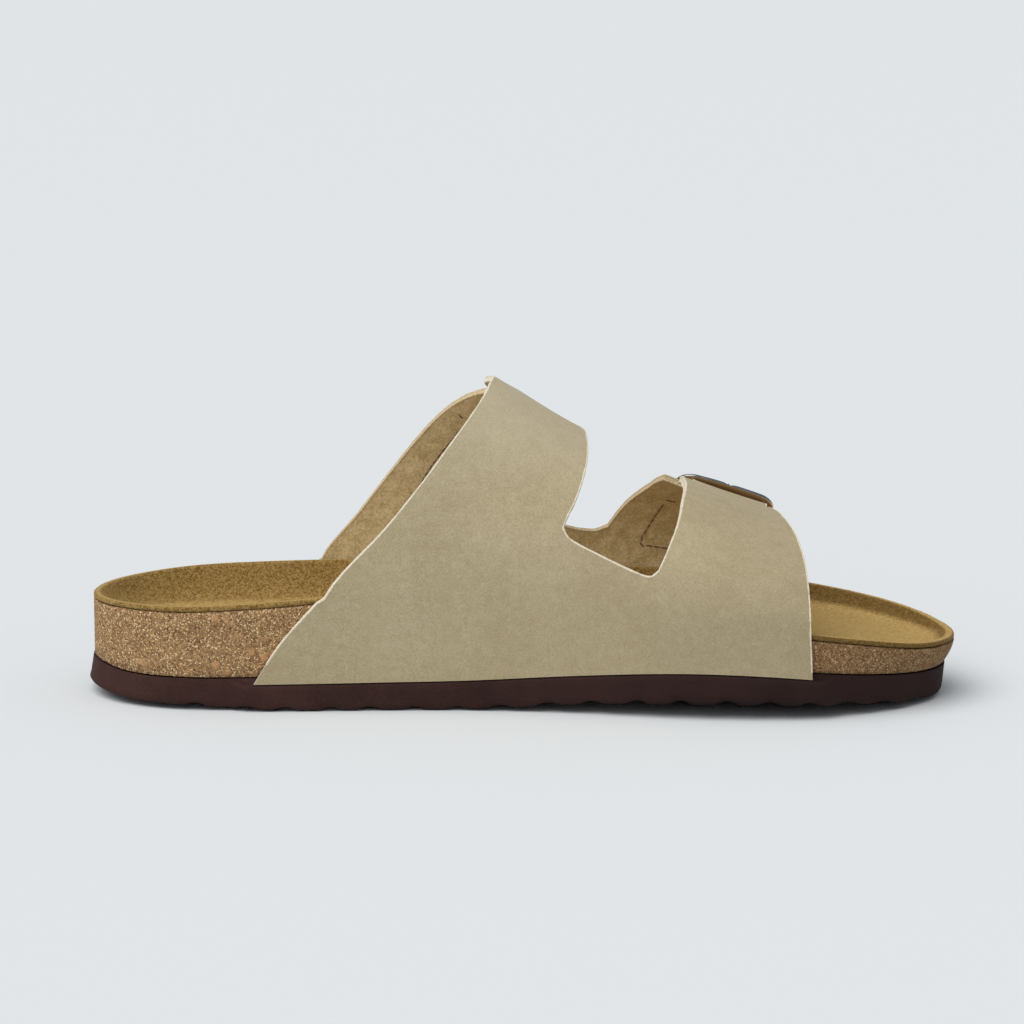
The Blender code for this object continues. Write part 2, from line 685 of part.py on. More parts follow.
def build_prong(strap, upper, finish):
    path = [(0, y, z) for y, z in prong_path()]
    prong = tube("buckle_prong_" + strap.name, path, PRONG_RADIUS, finish)
    place(prong, strap)
    start = (0, path[0][1] + 0.0004, path[0][2] + 0.0001)
    slot = tube("prong_slot_" + strap.name, [start] + path[1:4], PRONG_RADIUS + 0.0004)
    make_cutter(slot)
    place(slot, strap)
    boolean(upper, slot, "DIFFERENCE")


def build_holes(strap, upper):
    mesh = bmesh.new()
    rise_at = strap_rise(strap)
    for girth in strap.holes:
        centre, across, along, out = strap_frame(strap, girth)[3:]
        spot = centre + out * (eased(rise_at, girth) + WALL / 2)
        turn = Matrix((across, along, out)).transposed().to_4x4()
        bmesh.ops.create_cone(mesh, cap_ends=True, segments=12, radius1=HOLE_RADIUS, radius2=HOLE_RADIUS,
                              depth=WALL * 1.25, matrix=Matrix.Translation(spot) @ turn)
    cutter = add_object("strap_holes_" + strap.name, mesh, cutter=True)
    boolean(upper, cutter, "DIFFERENCE")


def build_tab(strap, finish):
    """Short leather tab from the centre bar down the outer piece, under the strap."""
    rows = []
    for girth in spread(strap.bar + BAR_RADIUS + GAP, strap.bar + TAB_REACH, 3):
        station, by_station, by_girth = strap_frame(strap, girth)[:3]
        row = []
        for across in spread(-TAB_HALF, TAB_HALF, 4):
            centre, out = girth_point(station + by_station * across, girth + by_girth * across)
            row.append(centre + out * (WALL + GAP))
        rows.append(row)
    sheet = Surface()
    sheet.panel(rows)
    tab = sheet.finish("buckle_tab_" + strap.name)
    tab.data.materials.append(finish)
    thicken(tab)
    tab.modifiers["wall"].thickness = TAB


outsole = build_soles()
build_tread(outsole)
upper = build_upper()
metal = material("buckle_metal", (0.12, 0.11, 0.10), 0.35, 1.0)
tab_leather = material("tab_leather", (0.42, 0.37, 0.26), 0.8)
for strap in STRAPS:
    build_holes(strap, upper)
    build_prong(strap, upper, metal)
    build_frame(strap, metal)
    build_tab(strap, tab_leather)
for piece in (*pieces.objects, *cutters.objects):
    piece.location -= ORIGIN
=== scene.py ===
import bisect
import math
from collections import namedtuple

import bmesh
import bpy
from mathutils import Matrix, Vector, noise


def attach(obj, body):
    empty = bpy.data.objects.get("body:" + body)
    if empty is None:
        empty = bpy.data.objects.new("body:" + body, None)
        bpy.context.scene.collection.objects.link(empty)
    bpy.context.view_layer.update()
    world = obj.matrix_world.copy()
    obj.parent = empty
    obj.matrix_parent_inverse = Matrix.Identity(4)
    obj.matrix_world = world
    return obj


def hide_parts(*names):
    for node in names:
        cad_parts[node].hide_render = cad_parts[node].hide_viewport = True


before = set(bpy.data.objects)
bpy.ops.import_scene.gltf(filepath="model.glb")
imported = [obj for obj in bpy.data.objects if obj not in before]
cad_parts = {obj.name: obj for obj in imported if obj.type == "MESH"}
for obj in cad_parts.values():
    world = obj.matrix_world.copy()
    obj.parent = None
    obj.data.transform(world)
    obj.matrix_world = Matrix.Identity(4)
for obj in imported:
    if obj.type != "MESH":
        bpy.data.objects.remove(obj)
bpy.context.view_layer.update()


# Outsole: one moulded sheet of dark brown foam, cemented under the cork. It stands out by the
# thickness of the leather where it carries the upper's edge, and chevron grooves with soft
# shoulders run across its underside and notch its rim.

MEDIAL = -1
LATERAL = 1
ORIGIN = Vector((0.1302, 0.0015, 0.0))
LENGTH = 0.262
GAP = 0.0003
MERGE = 0.00002
WALL = 0.0020
LAP = 0.0015
UPPER_FROM = 0.050
UPPER_TO = 0.215
HEEL_ROUND = 0.042
HEEL_POWER = 2.1
TOE_START = {MEDIAL: 0.215, LATERAL: 0.195}
TOE_POWER = {MEDIAL: 2.05, LATERAL: 1.80}
TOE_Y = -0.008

Section = namedtuple("Section", "station medial lateral sole lift floor rim_medial rim_lateral crest")
SECTIONS = (
    Section(0.000, 0.0330, 0.0335, 0.0078, 0.0035, 0.0228, 0.0306, 0.0304, 0.130),
    Section(0.012, 0.0330, 0.0335, 0.0078, 0.0020, 0.0214, 0.0309, 0.0309, 0.130),
    Section(0.030, 0.0330, 0.0335, 0.0082, 0.0014, 0.0206, 0.0312, 0.0319, 0.130),
    Section(0.060, 0.0330, 0.0347, 0.0096, 0.0003, 0.0208, 0.0330, 0.0328, 0.124),
    Section(0.090, 0.0321, 0.0370, 0.0099, 0.0003, 0.0222, 0.0360, 0.0328, 0.1115),
    Section(0.115, 0.0326, 0.0402, 0.0104, 0.0004, 0.0232, 0.0370, 0.0318, 0.0985),
    Section(0.145, 0.0370, 0.0448, 0.0103, 0.0027, 0.0217, 0.0345, 0.0300, 0.0797),
    Section(0.175, 0.0446, 0.0478, 0.0101, 0.0051, 0.0196, 0.0305, 0.0277, 0.0652),
    Section(0.200, 0.0474, 0.0480, 0.0096, 0.0053, 0.0186, 0.0272, 0.0260, 0.0545),
    Section(0.230, 0.0458, 0.0470, 0.0088, 0.0034, 0.0176, 0.0231, 0.0233, 0.0455),
    Section(0.250, 0.0450, 0.0470, 0.0088, 0.0014, 0.0158, 0.0198, 0.0210, 0.0400),
    Section(0.262, 0.0450, 0.0470, 0.0084, 0.0010, 0.0150, 0.0188, 0.0188, 0.0380),
)


def curve(pairs, x):
    """Smooth curve through a few (x, value) pairs, held level past its ends."""
    if x <= pairs[0][0]:
        return pairs[0][1]
    if x >= pairs[-1][0]:
        return pairs[-1][1]
    i = bisect.bisect_right([pair[0] for pair in pairs], x) - 1

    def slope(k):
        a, b = pairs[max(k - 1, 0)], pairs[min(k + 1, len(pairs) - 1)]
        return (b[1] - a[1]) / (b[0] - a[0])

    (x0, v0), (x1, v1) = pairs[i], pairs[i + 1]
    u = (x - x0) / (x1 - x0)
    bend = (x1 - x0) * ((u ** 3 - 2 * u * u + u) * slope(i) + (u ** 3 - u * u) * slope(i + 1))
    return v0 + (v1 - v0) * (3 * u * u - 2 * u ** 3) + bend


def eased(pairs, x):
    """Steps through (x, value) pairs, level at each of them."""
    if x <= pairs[0][0]:
        return pairs[0][1]
    for (x0, v0), (x1, v1) in zip(pairs, pairs[1:]):
        if x <= x1:
            u = (x - x0) / (x1 - x0)
            return v0 + (v1 - v0) * u * u * (3 - 2 * u)
    return pairs[-1][1]


def spread(start, end, count):
    return [start + (end - start) * k / count for k in range(count + 1)]


COLUMNS = {name: [(row.station, getattr(row, name)) for row in SECTIONS] for name in Section._fields}


def column(name, station):
    return curve(COLUMNS[name], station)


def rounded(u, power):
    return max(0.0, 1.0 - min(u, 1.0) ** power) ** (1.0 / power)


def footprint(station, side):
    """Plan edge of the cork, rounded in at heel and toe."""
    across = side * column("medial" if side == MEDIAL else "lateral", station)
    start = TOE_START[side]
    if station < HEEL_ROUND:
        return across * rounded(1.0 - station / HEEL_ROUND, HEEL_POWER)
    if station > start:
        return TOE_Y + (across - TOE_Y) * rounded((station - start) / (LENGTH - start), TOE_POWER[side])
    return across


def rim_height(station, side):
    return column("rim_medial" if side == MEDIAL else "rim_lateral", station)


def arc_stations(start, tip, power, first, count):
    """Stations of a rounded end, closer together towards its tip."""
    angles = spread(math.asin(first ** (power / 2)), math.pi / 2, count)
    return [start + (tip - start) * math.sin(angle) ** (2 / power) for angle in angles]


SPINE_START = HEEL_ROUND
SPINE_END = 0.215
heel = arc_stations(HEEL_ROUND, 0.0, HEEL_POWER, 0.0, 60)
toe = {side: arc_stations(start, LENGTH, TOE_POWER[side], (SPINE_END - start) / (LENGTH - start), 80)
       for side, start in TOE_START.items()}
middle = spread(SPINE_START, SPINE_END, 230)
LOOP = [(station, MEDIAL) for station in heel[::-1] + middle[1:] + toe[MEDIAL][1:]]
LOOP += [(station, LATERAL) for station in toe[LATERAL][-2::-1] + middle[-2::-1] + heel[1:-1]]
EDGE = [Vector((station, footprint(station, side))) for station, side in LOOP]
OUTWARD = []
for k, point in enumerate(EDGE):
    run = (EDGE[(k + 1) % len(EDGE)] - EDGE[k - 1]).normalized()
    OUTWARD.append(Vector((run.y, -run.x)))


def spine_point(station):
    station = min(max(station, SPINE_START), SPINE_END)
    return Vector((station, (footprint(station, MEDIAL) + footprint(station, LATERAL)) / 2))


SPINE = [spine_point(station) for station, side in LOOP]


def ring(share, grow, height):
    """Ring of points from the spine (share 0) to the footprint (share 1), moved out by grow."""
    points = []
    for (station, side), edge, normal, spine in zip(LOOP, EDGE, OUTWARD, SPINE):
        flat = spine.lerp(edge + normal * grow(station), share)
        points.append(Vector((flat.x, flat.y, height(station, side, share, flat))))
    return points


def flush(station):
    return 0.0


def below(height, drop):
    return lambda *spot: height(*spot) - drop


def in_scene(name, data):
    made = bpy.data.objects.new(name, data)
    bpy.context.scene.collection.objects.link(made)
    return made


def piece_from(name, points, faces, finish):
    """Smooth-shaded piece at the origin, with its doubled points merged."""
    data = bpy.data.meshes.new(name)
    data.from_pydata([point - ORIGIN for point in points], [], faces)
    data.materials.append(finish)
    mesh = bmesh.new()
    mesh.from_mesh(data)
    bmesh.ops.remove_doubles(mesh, verts=mesh.verts, dist=MERGE)
    bmesh.ops.recalc_face_normals(mesh, faces=mesh.faces)
    mesh.to_mesh(data)
    mesh.free()
    data.shade_smooth()
    return in_scene(name, data)


def tube_faces(rings, count, closed=False):
    """Faces between rings of count points each, the last ring joined to the first if closed."""
    faces = []
    for k in range(rings if closed else rings - 1):
        here, there = k * count, (k + 1) % rings * count
        for i in range(count):
            j = (i + 1) % count
            faces.append((here + i, here + j, there + j, there + i))
    return faces


def loft(name, rings, finish):
    """Closed body of rings, from the spine of its underside round to the spine of its top."""
    points = [point for ring_points in rings for point in ring_points]
    return piece_from(name, points, tube_faces(len(rings), len(LOOP)), finish)


class Number:
    """A number in a material's nodes, so that shader maths reads as an expression."""

    def __init__(self, finish, socket):
        self.finish = finish
        self.socket = socket

    def math(self, operation, first, second):
        return self.finish.node("ShaderNodeMath", {"operation": operation}, {0: first, 1: second})

    def __add__(self, other):
        return self.math("ADD", self, other)

    def __mul__(self, other):
        return self.math("MULTIPLY", self, other)


SOCKETS = {"specular": "Specular IOR Level", "metallic": "Metallic", "sheen_weight": "Sheen Weight",
           "sheen_roughness": "Sheen Roughness", "sheen_tint": "Sheen Tint"}


class Finish:
    """A procedural material on one Principled shader."""

    def __init__(self, name, roughness, **constants):
        self.material = bpy.data.materials.new(name)
        self.material.use_nodes = True
        self.tree = self.material.node_tree
        self.shader = self.tree.nodes["Principled BSDF"]
        self.shader.inputs["Roughness"].default_value = roughness
        for socket, value in constants.items():
            self.shader.inputs[SOCKETS[socket]].default_value = value
        self.place = self.node("ShaderNodeTexCoord", {}, {}, "Object")

    def feed(self, socket, value):
        if isinstance(value, Number):
            self.tree.links.new(value.socket, socket)
        else:
            socket.default_value = value

    def node(self, kind, settings, sockets, out=0):
        node = self.tree.nodes.new(kind)
        for name, value in settings.items():
            setattr(node, name, value)
        for key, value in sockets.items():
            self.feed(node.inputs[key], value)
        return Number(self, node.outputs[out])

    def noise(self, size, detail=2.0, rough=0.5, place=None):
        """Noise whose lumps are about size metres across."""
        return self.node("ShaderNodeTexNoise", {}, {"Vector": place or self.place, "Scale": 1 / size,
                                                    "Detail": detail, "Roughness": rough})

    def cells(self, size, out="Color", place=None):
        """Grains about size metres across."""
        return self.node("ShaderNodeTexVoronoi", {}, {"Vector": place or self.place, "Scale": 1 / size}, out)

    def channel(self, colour, name="Red"):
        return self.node("ShaderNodeSeparateColor", {}, {"Color": colour}, name)

    def between(self, value, low, high, to_low=0.0, to_high=1.0):
        """Smooth step of a value from low to high."""
        return self.node("ShaderNodeMapRange", {"interpolation_type": "SMOOTHSTEP"},
                         {"Value": value, "From Min": low, "From Max": high,
                          "To Min": to_low, "To Max": to_high})

    def stretched(self, scale):
        return self.node("ShaderNodeMapping", {}, {"Vector": self.place, "Scale": scale})

    def mix(self, first, second, share):
        node = self.tree.nodes.new("ShaderNodeMix")
        node.data_type = "RGBA"
        for socket, value in ((node.inputs[0], share), (node.inputs[6], first), (node.inputs[7], second)):
            if not isinstance(value, (Number, float)):
                value = (*value, 1.0)
            self.feed(socket, value)
        return Number(self, node.outputs[2])

    def bump(self, height, strength, distance):
        return self.node("ShaderNodeBump", {}, {"Height": height, "Strength": strength, "Distance": distance})

    def finish(self, colour, normal=None, roughness=None):
        self.feed(self.shader.inputs["Base Color"], colour)
        if normal:
            self.feed(self.shader.inputs["Normal"], normal)
        if roughness:
            self.feed(self.shader.inputs["Roughness"], roughness)
        return self.material


foam = Finish("outsole_foam", 0.80, specular=0.16)
pores = foam.noise(0.0006, 3.0)
brushed = foam.noise(0.0012, 2.0, place=foam.stretched((0.06, 0.06, 1.0)))
clouds = foam.noise(0.018, 2.0)
foam_tone = foam.between(clouds * 0.5 + pores * 0.5, 0.3, 0.7)
foam_colour = foam.mix((0.032, 0.0132, 0.0112), (0.066, 0.0290, 0.0245), foam_tone)
# Painted shade: the foam is darkened towards the toe, where its side is turned away from the light.
painted_toe_shade = foam.between(foam.channel(foam.place), -0.13, 0.09, 0.0, 0.62)
foam_colour = foam.mix(foam_colour, (0.008, 0.0045, 0.0042), painted_toe_shade)
foam_normal = foam.bump(pores * 0.7 + brushed * 0.6, 0.35, 0.00035)
outsole_foam = foam.finish(foam_colour, foam_normal, foam.between(pores, 0.3, 0.7, 0.72, 0.90))

FLANGE = WALL + 0.0006
TOE_LEAN = 0.0030
FLAT = 0.52
HEEL_FLARE = 0.0013
GROOVES = (0.0325, 0.0480, 0.0595, 0.0730, 0.0845, 0.0977, 0.1109, 0.1235, 0.1375, 0.1505,
           0.1640, 0.1768, 0.1905, 0.2031, 0.2150, 0.2265, 0.2375, 0.2480)
GROOVE_DEPTH = 0.0014
GROOVE_HALF = 0.0043
RIM_DEPTH = 0.62
CHEVRON = 0.006
CHEVRON_HALF = 0.025
TREAD_SHARES = (0, 0.15, 0.3, 0.42, 0.52, 0.62, 0.72, 0.82, 0.9)
LOWER_ROUND = ((0.0012, 0.0), (0.0004, 0.0003), (0.0, 0.0010))
UPPER_ROUND = ((0.0003, 0.0002), (0.0009, 0.0))


def under_upper(station):
    """1 where the upper's edge lies on the outsole, 0 at heel and toe."""
    return eased(((SPINE_START, 0), (UPPER_FROM - 0.0015, 1), (UPPER_TO + 0.002, 1), (UPPER_TO + 0.010, 0)),
                 station)


def lean(station):
    return -TOE_LEAN * eased(((0.215, 0), (0.255, 1)), station)


def rise(share):
    return (max(share - FLAT, 0) / (1 - FLAT)) ** 1.7


def joint_height(station, side, share, flat):
    return column("sole", flat.x) + column("lift", station) * rise(share)


def groove(share, flat):
    """Depth of the tread at a place in plan, shallower where it runs out at the rim."""
    along = flat.x - CHEVRON * max(1 - abs(flat.y) / CHEVRON_HALF, 0)
    nearest = min(GROOVES, key=lambda station: abs(station - along))
    depth = GROOVE_DEPTH * eased(((0.80, 1), (1.0, RIM_DEPTH)), share)
    return depth * eased(((0.10, 1), (1.0, 0)), abs(along - nearest) / GROOVE_HALF)


def tread_height(station, side, share, flat):
    return column("lift", station) * rise(share) + groove(share, flat)


def brim(station):
    return lean(station) + GAP + (FLANGE - GAP) * under_upper(station)


def brim_bottom(station):
    flare = eased(((0.0, HEEL_FLARE), (0.050, 0.0), (0.240, 0.0), (LENGTH, -0.0008)), station)
    return brim(station) + flare


def ledge(station, side, share, flat):
    return joint_height(station, side, share, flat) - (LAP + GAP) * under_upper(station)


def side_height(part):
    """Height at a part of the way up the outsole's side, over the tread's notches."""
    def height(*spot):
        low = tread_height(*spot)
        return low + (ledge(*spot) - low) * part
    return height


sole_rings = [ring(share, brim_bottom, tread_height) for share in TREAD_SHARES]
for inwards, up in LOWER_ROUND:
    sole_rings.append(ring(1, lambda s, inwards=inwards: brim_bottom(s) - inwards, below(tread_height, -up)))
for part in (0.3, 0.5, 0.7, 0.9):
    sole_rings.append(ring(1, lambda s, part=part: brim(s) * part + brim_bottom(s) * (1 - part),
                           side_height(part)))
for inwards, down in UPPER_ROUND:
    sole_rings.append(ring(1, lambda s, inwards=inwards: brim(s) - inwards * under_upper(s),
                           below(ledge, down)))
sole_rings.append(ring(1, lean, ledge))
sole_rings += [ring(share, lean, joint_height) for share in (1, 0.7, 0.4, 0)]
outsole = loft("outsole_moulding", sole_rings, outsole_foam)
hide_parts("outsole")
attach(outsole, "root")


# Footbed: granulated cork bound with latex, pressed to the foot's shape with a heel cup, an
# inner arch and a ridge under the toes. The sanded side shows its grains.

SUEDE = 0.0014
CUP = ((0.0, 8.5), (0.180, 8.5), (0.235, 12.0))
LIP = 0.95
ARCH = ((0.080, 0), (0.115, 1), (0.150, 0))
ARCH_FILL = 4.0
Bump = namedtuple("Bump", "station reach height")
TOE_BAR = Bump(0.208, 0.007, 0.0014)
BALL_PAD = Bump(0.148, 0.018, 0.0022)
BUMP_SHARE = 0.75
FRAY = 0.00040
CORK_INSET = 0.0005
JOINT_ROUND = 0.0006
RIM_ROUND = 0.0004
DRIFT_SCALE = 900.0
DRIFT = (0.0009, 0.0009, 0.0009)
LUMP = 0.0056


def footbed_height(station, side, share, flat):
    """Top of the footbed: a cup with a heel seat, an arch, a ball pad and a toe bar."""
    floor = column("floor", flat.x)
    rim = rim_height(station, side)
    arch = eased(ARCH, station) if side == MEDIAL else 0
    climb = min(share / LIP, 1) ** (curve(CUP, station) - ARCH_FILL * arch)
    bumps = sum(bump.height * math.exp(-((flat.x - bump.station) / bump.reach) ** 2)
                for bump in (TOE_BAR, BALL_PAD))
    return floor + (rim - floor) * climb + bumps * max(1 - (share / BUMP_SHARE) ** 2, 0)


def frayed(height, depth, size, seed):
    """An edge that wavers a little, as a cut through grains or nap does."""
    def wavering(station, side, share, flat):
        spot = Vector((flat.x / size, flat.y / size, seed))
        return height(station, side, share, flat) + noise.noise(spot) * depth
    return wavering


cork = Finish("cork_grain", 0.85, specular=0.25)
drift = cork.node("ShaderNodeTexNoise", {}, {"Vector": cork.place, "Scale": DRIFT_SCALE, "Detail": 2.0},
                  "Color")
wander = cork.node("ShaderNodeVectorMath", {"operation": "MULTIPLY_ADD"}, {0: drift, 1: DRIFT, 2: cork.place})
warp = cork.noise(0.005, 2.0)
grains = cork.cells(0.00075, place=wander)
small = cork.cells(0.00036, place=wander)
lumps = cork.cells(LUMP, place=wander)
lump_core = cork.cells(LUMP, "Distance", place=wander)
forward = cork.channel(cork.place)
tone = cork.channel(grains)
shade = cork.channel(small)
cork_tone = cork.between(tone * 0.35 + shade * 0.45 + warp * 0.2, 0.2, 0.8)
body = cork.mix((0.230, 0.122, 0.050), (0.440, 0.268, 0.125), cork_tone)
body = cork.mix(body, (0.060, 0.028, 0.014), cork.between(cork.channel(small, "Blue"), 0.76, 0.94) * 0.8)
body = cork.mix(body, (0.860, 0.640, 0.360), cork.between(cork.channel(small, "Green"), 0.82, 0.95) * 0.9)
lump_mask = cork.between(cork.channel(lumps, "Green"), 0.78, 0.84) * cork.between(lump_core, 0.30, 0.14)
body = cork.mix(body, (0.580, 0.310, 0.140), lump_mask * 0.55)
# Painted shade: the cork's side is darkened towards the toe, where it is turned away from the light.
body = cork.mix(body, (0.085, 0.036, 0.010), cork.between(forward, -0.06, 0.11, 0.0, 0.42))
pits = cork.cells(0.00042, "Distance", place=wander)
relief = pits * -0.8 + cork.noise(0.0004, 3.0) * 0.6 + lump_mask * 1.4
cork_side = cork.finish(body, cork.bump(relief, 0.65, 0.0004), cork.between(tone, 0.2, 0.8, 0.78, 0.92))

cork_rings = [ring(share, lean, below(joint_height, -GAP)) for share in (0, 0.5, 0.9)]
joint_edge = frayed(joint_height, FRAY, 0.0012, 3.0)
cork_rings.append(ring(1, lambda s: lean(s) - CORK_INSET, below(joint_height, -GAP)))
cork_rings.append(ring(1, lean, below(joint_edge, -JOINT_ROUND)))


def cork_wall(part):
    """A ring part of the way up the cork's side, from the joint to the rim."""
    def height(*spot):
        low = joint_height(*spot) + JOINT_ROUND
        return low + (rim_height(spot[0], spot[1]) - SUEDE - GAP - RIM_ROUND - low) * part
    return ring(1, lambda s: lean(s) * (1 - part) ** 1.5, height)


cork_rings += [cork_wall(part) for part in (0.15, 0.35, 0.55, 0.75, 0.9)]
rim_edge = frayed(footbed_height, FRAY, 0.0009, 8.0)
cork_rings.append(ring(1, flush, below(rim_edge, SUEDE + GAP + RIM_ROUND)))
cork_rings.append(ring(1, lambda s: -CORK_INSET, below(footbed_height, SUEDE + GAP)))
cork_rings += [ring(share, flush, below(footbed_height, SUEDE + GAP)) for share in (0.94, 0.8, 0.6, 0.3, 0)]
cork_footbed = loft("cork_body", cork_rings, cork_side)
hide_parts("cork_footbed")
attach(cork_footbed, "root")


# Footbed lining: ochre split suede, glued over the cork and trimmed flush at the rim, so its
# pale edge shows as a band round the shoe.

suede = Finish("footbed_suede", 0.95, sheen_weight=0.50, sheen_roughness=0.30,
               sheen_tint=(0.86, 0.60, 0.26, 1.0), specular=0.05)
nap = suede.noise(0.00045, 3.0, 0.7)
tufts = suede.noise(0.0010, 2.0, 0.6)
worn = suede.noise(0.030, 2.0)
facing = suede.channel(suede.node("ShaderNodeNewGeometry", {}, {}, "Normal"), "Blue")
suede_tone = suede.between(nap * 0.65 + tufts * 0.35, 0.32, 0.68) * 0.80
# Painted light: the tone is raised where the suede faces up and lowered on its steep walls, for how the light
# falls on them.
suede_tone = suede_tone + suede.between(facing, 0.84, 0.995, -0.12, 0.30) + worn * 0.14
suede_colour = suede.mix((0.150, 0.078, 0.017), (0.560, 0.385, 0.145), suede_tone)
# Painted shade: the steep walls at the toe are darkened, as if shaded by the front strap above them.
painted_toe_wall_shade = suede.between(suede.channel(suede.place), 0.070, 0.090) * suede.between(facing, 0.97, 0.80)
suede_colour = suede.mix(suede_colour, (0.070, 0.036, 0.008), painted_toe_wall_shade * 0.55)
lining_suede = suede.finish(suede_colour, suede.bump(nap * 0.7 + tufts * 0.5, 0.9, 0.0004))

TOP_SHARES = (0, 0.08, 0.16, 0.24, 0.32, 0.40, 0.48, 0.56, 0.63, 0.70, 0.76, 0.81, 0.85, 0.89, 0.92, 0.94,
              0.955, 0.975)
ragged = frayed(footbed_height, 0.00030, 0.0008, 21.0)
CUT_ROUND = ((0.0003, SUEDE, footbed_height), (0.0, SUEDE - 0.0002, ragged), (0.0, 0.0006, footbed_height),
             (0.0002, 0.0002, ragged), (0.0006, 0.0, footbed_height))
lining_rings = [ring(share, flush, below(footbed_height, SUEDE)) for share in (0, 0.3, 0.6, 0.8, 0.94)]
for inwards, down, surface in CUT_ROUND:
    lining_rings.append(ring(1, lambda s, inwards=inwards: -inwards, below(surface, down)))
lining_rings += [ring(share, flush, footbed_height) for share in TOP_SHARES[::-1]]
footbed_lining = loft("suede_lining", lining_rings, lining_suede)
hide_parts("footbed_lining")
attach(footbed_lining, "root")


# Upper: two pieces of taupe nubuck backed with tan felt, their cut edges left raw and pale.
# Each is wrapped on the last from its own side and glued down on the outsole's brim. The straps
# of the inner piece cross over the outer one, with three holes and a slot punched in each.

CREST_Y = -0.004
ARCH_POWER = 2.15


def section_point(station, h):
    """Inner face of the upper. h is 0 and 4 at the lower edges, 1 and 3 at the rims, 2 at the crest."""
    side = MEDIAL if h < 2 else LATERAL
    climb = h if h < 2 else 4 - h
    edge = footprint(station, side) + side * GAP
    rim = rim_height(station, side)
    if climb <= 1:
        low = column("sole", station) + column("lift", station) - LAP
        return Vector((station, edge, low + (rim - low) * climb))
    turn = (climb - 1) * math.pi / 2
    across = (edge - CREST_Y) * max(math.cos(turn), 0.0) ** (2 / ARCH_POWER)
    up = (column("crest", station) - rim) * math.sin(turn) ** (2 / ARCH_POWER)
    return Vector((station, CREST_Y + across, rim + up))


def section_normal(station, h):
    """Outward unit normal of the section surface."""
    step = 0.0005
    along = section_point(station + step, h) - section_point(station - step, h)
    around = section_point(station, h + 0.004) - section_point(station, h - 0.004)
    return along.cross(around).normalized()


H_STEPS = 96
GIRTHS = []
for station in spread(0.085, 0.225, 140):
    walked = [0.0]
    last = section_point(station, 2.0)
    for k in range(1, H_STEPS + 1):
        point = section_point(station, 2.0 + 2.0 * k / H_STEPS)
        walked.append(walked[-1] + (point - last).length)
        last = point
    GIRTHS.append((station, walked))


def h_at(station, girth):
    """The h that lies a girth past the crest, towards the outer side."""
    place = min(max((station - GIRTHS[0][0]) / (GIRTHS[1][0] - GIRTHS[0][0]), 0), len(GIRTHS) - 1.001)
    low = int(place)
    found = []
    for _, walked in GIRTHS[low:low + 2]:
        k = min(bisect.bisect_right(walked, girth), H_STEPS)
        part = min((girth - walked[k - 1]) / (walked[k] - walked[k - 1]), 1.0)
        found.append(2.0 + 2.0 * (k - 1 + part) / H_STEPS)
    return found[0] + (found[1] - found[0]) * (place - low)


def girth_point(station, girth):
    h = h_at(station, girth)
    return section_point(station, h), section_normal(station, h)


Strap = namedtuple("Strap", "name centre outer_end bar tip holes")
INSTEP = Strap("instep", ((0.0, 0.13515), (0.020, 0.1335), (0.037, 0.1265), (0.060, 0.1172), (0.082, 0.1078)),
               1.667, 0.0480, 0.0790, (0.0560, 0.0635, 0.0710))
FRONT = Strap("front", ((0.0, 0.1940), (0.031, 0.1949), (0.045, 0.1924), (0.060, 0.1894), (0.075, 0.1866)),
              1.633, 0.0445, 0.071, (0.0525, 0.0590, 0.0650))
Cut = namedtuple("Cut", "rear instep_front notch front_rear front_front")
INNER_CUT = Cut(
    rear=((0, 0.0502), (0.5, 0.0582), (0.95, 0.0688), (1.0, 0.0712), (1.13, 0.0880), (1.27, 0.0998),
          (1.42, 0.1083), (1.57, 0.1144), (1.75, 0.1188), (2.0, 0.1213)),
    instep_front=((1.27, 0.1423), (1.33, 0.1437), (1.4, 0.1456), (1.53, 0.1478), (1.7, 0.1492),
                  (2.0, 0.1490)),
    notch=((0.1423, 1.27), (0.1430, 1.248), (0.1450, 1.228), (0.1532, 1.200), (0.1648, 1.165),
           (0.1682, 1.168), (0.1702, 1.205)),
    front_rear=((1.205, 0.1702), (1.3, 0.1723), (1.5, 0.1757), (1.7, 0.1776), (1.88, 0.1790), (2.0, 0.1788)),
    front_front=((0, 0.2150), (1.0, 0.2143), (1.3, 0.2138), (1.5, 0.2132), (1.75, 0.2117), (2.0, 0.2092)))
OUTER_CUT = Cut(
    rear=((0, 0.0502), (0.5, 0.0582), (0.95, 0.0665), (1.0, 0.0683), (1.1, 0.0802), (1.27, 0.0945),
          (1.53, 0.1112), (1.667, 0.1195)),
    instep_front=((1.15, 0.1425), (1.3, 0.1415), (1.5, 0.1440), (1.667, 0.1478)),
    notch=((0.1425, 1.15), (0.1450, 1.133), (0.1545, 1.133), (0.1590, 1.165)),
    front_rear=((1.165, 0.1590), (1.3, 0.1641), (1.46, 0.1704), (1.56, 0.1732), (1.633, 0.1752)),
    front_front=((0, 0.2060), (1.0, 0.2065), (1.3, 0.2090), (1.633, 0.2095)))

STRAP_END_HALF = 0.0121
STRAP_TAPER = 0.026
TIP_ROUND = 0.010
TIP_BLUNT = 0.25
BITE = 0.0004
BAR_RADIUS = 0.0010
BAR_HEIGHT = WALL + 2 * GAP + BAR_RADIUS
OVER_BAR = 0.0013
STRAP_LIFT = 0.0086
TAB = 0.0012
TAB_REACH = 0.0045


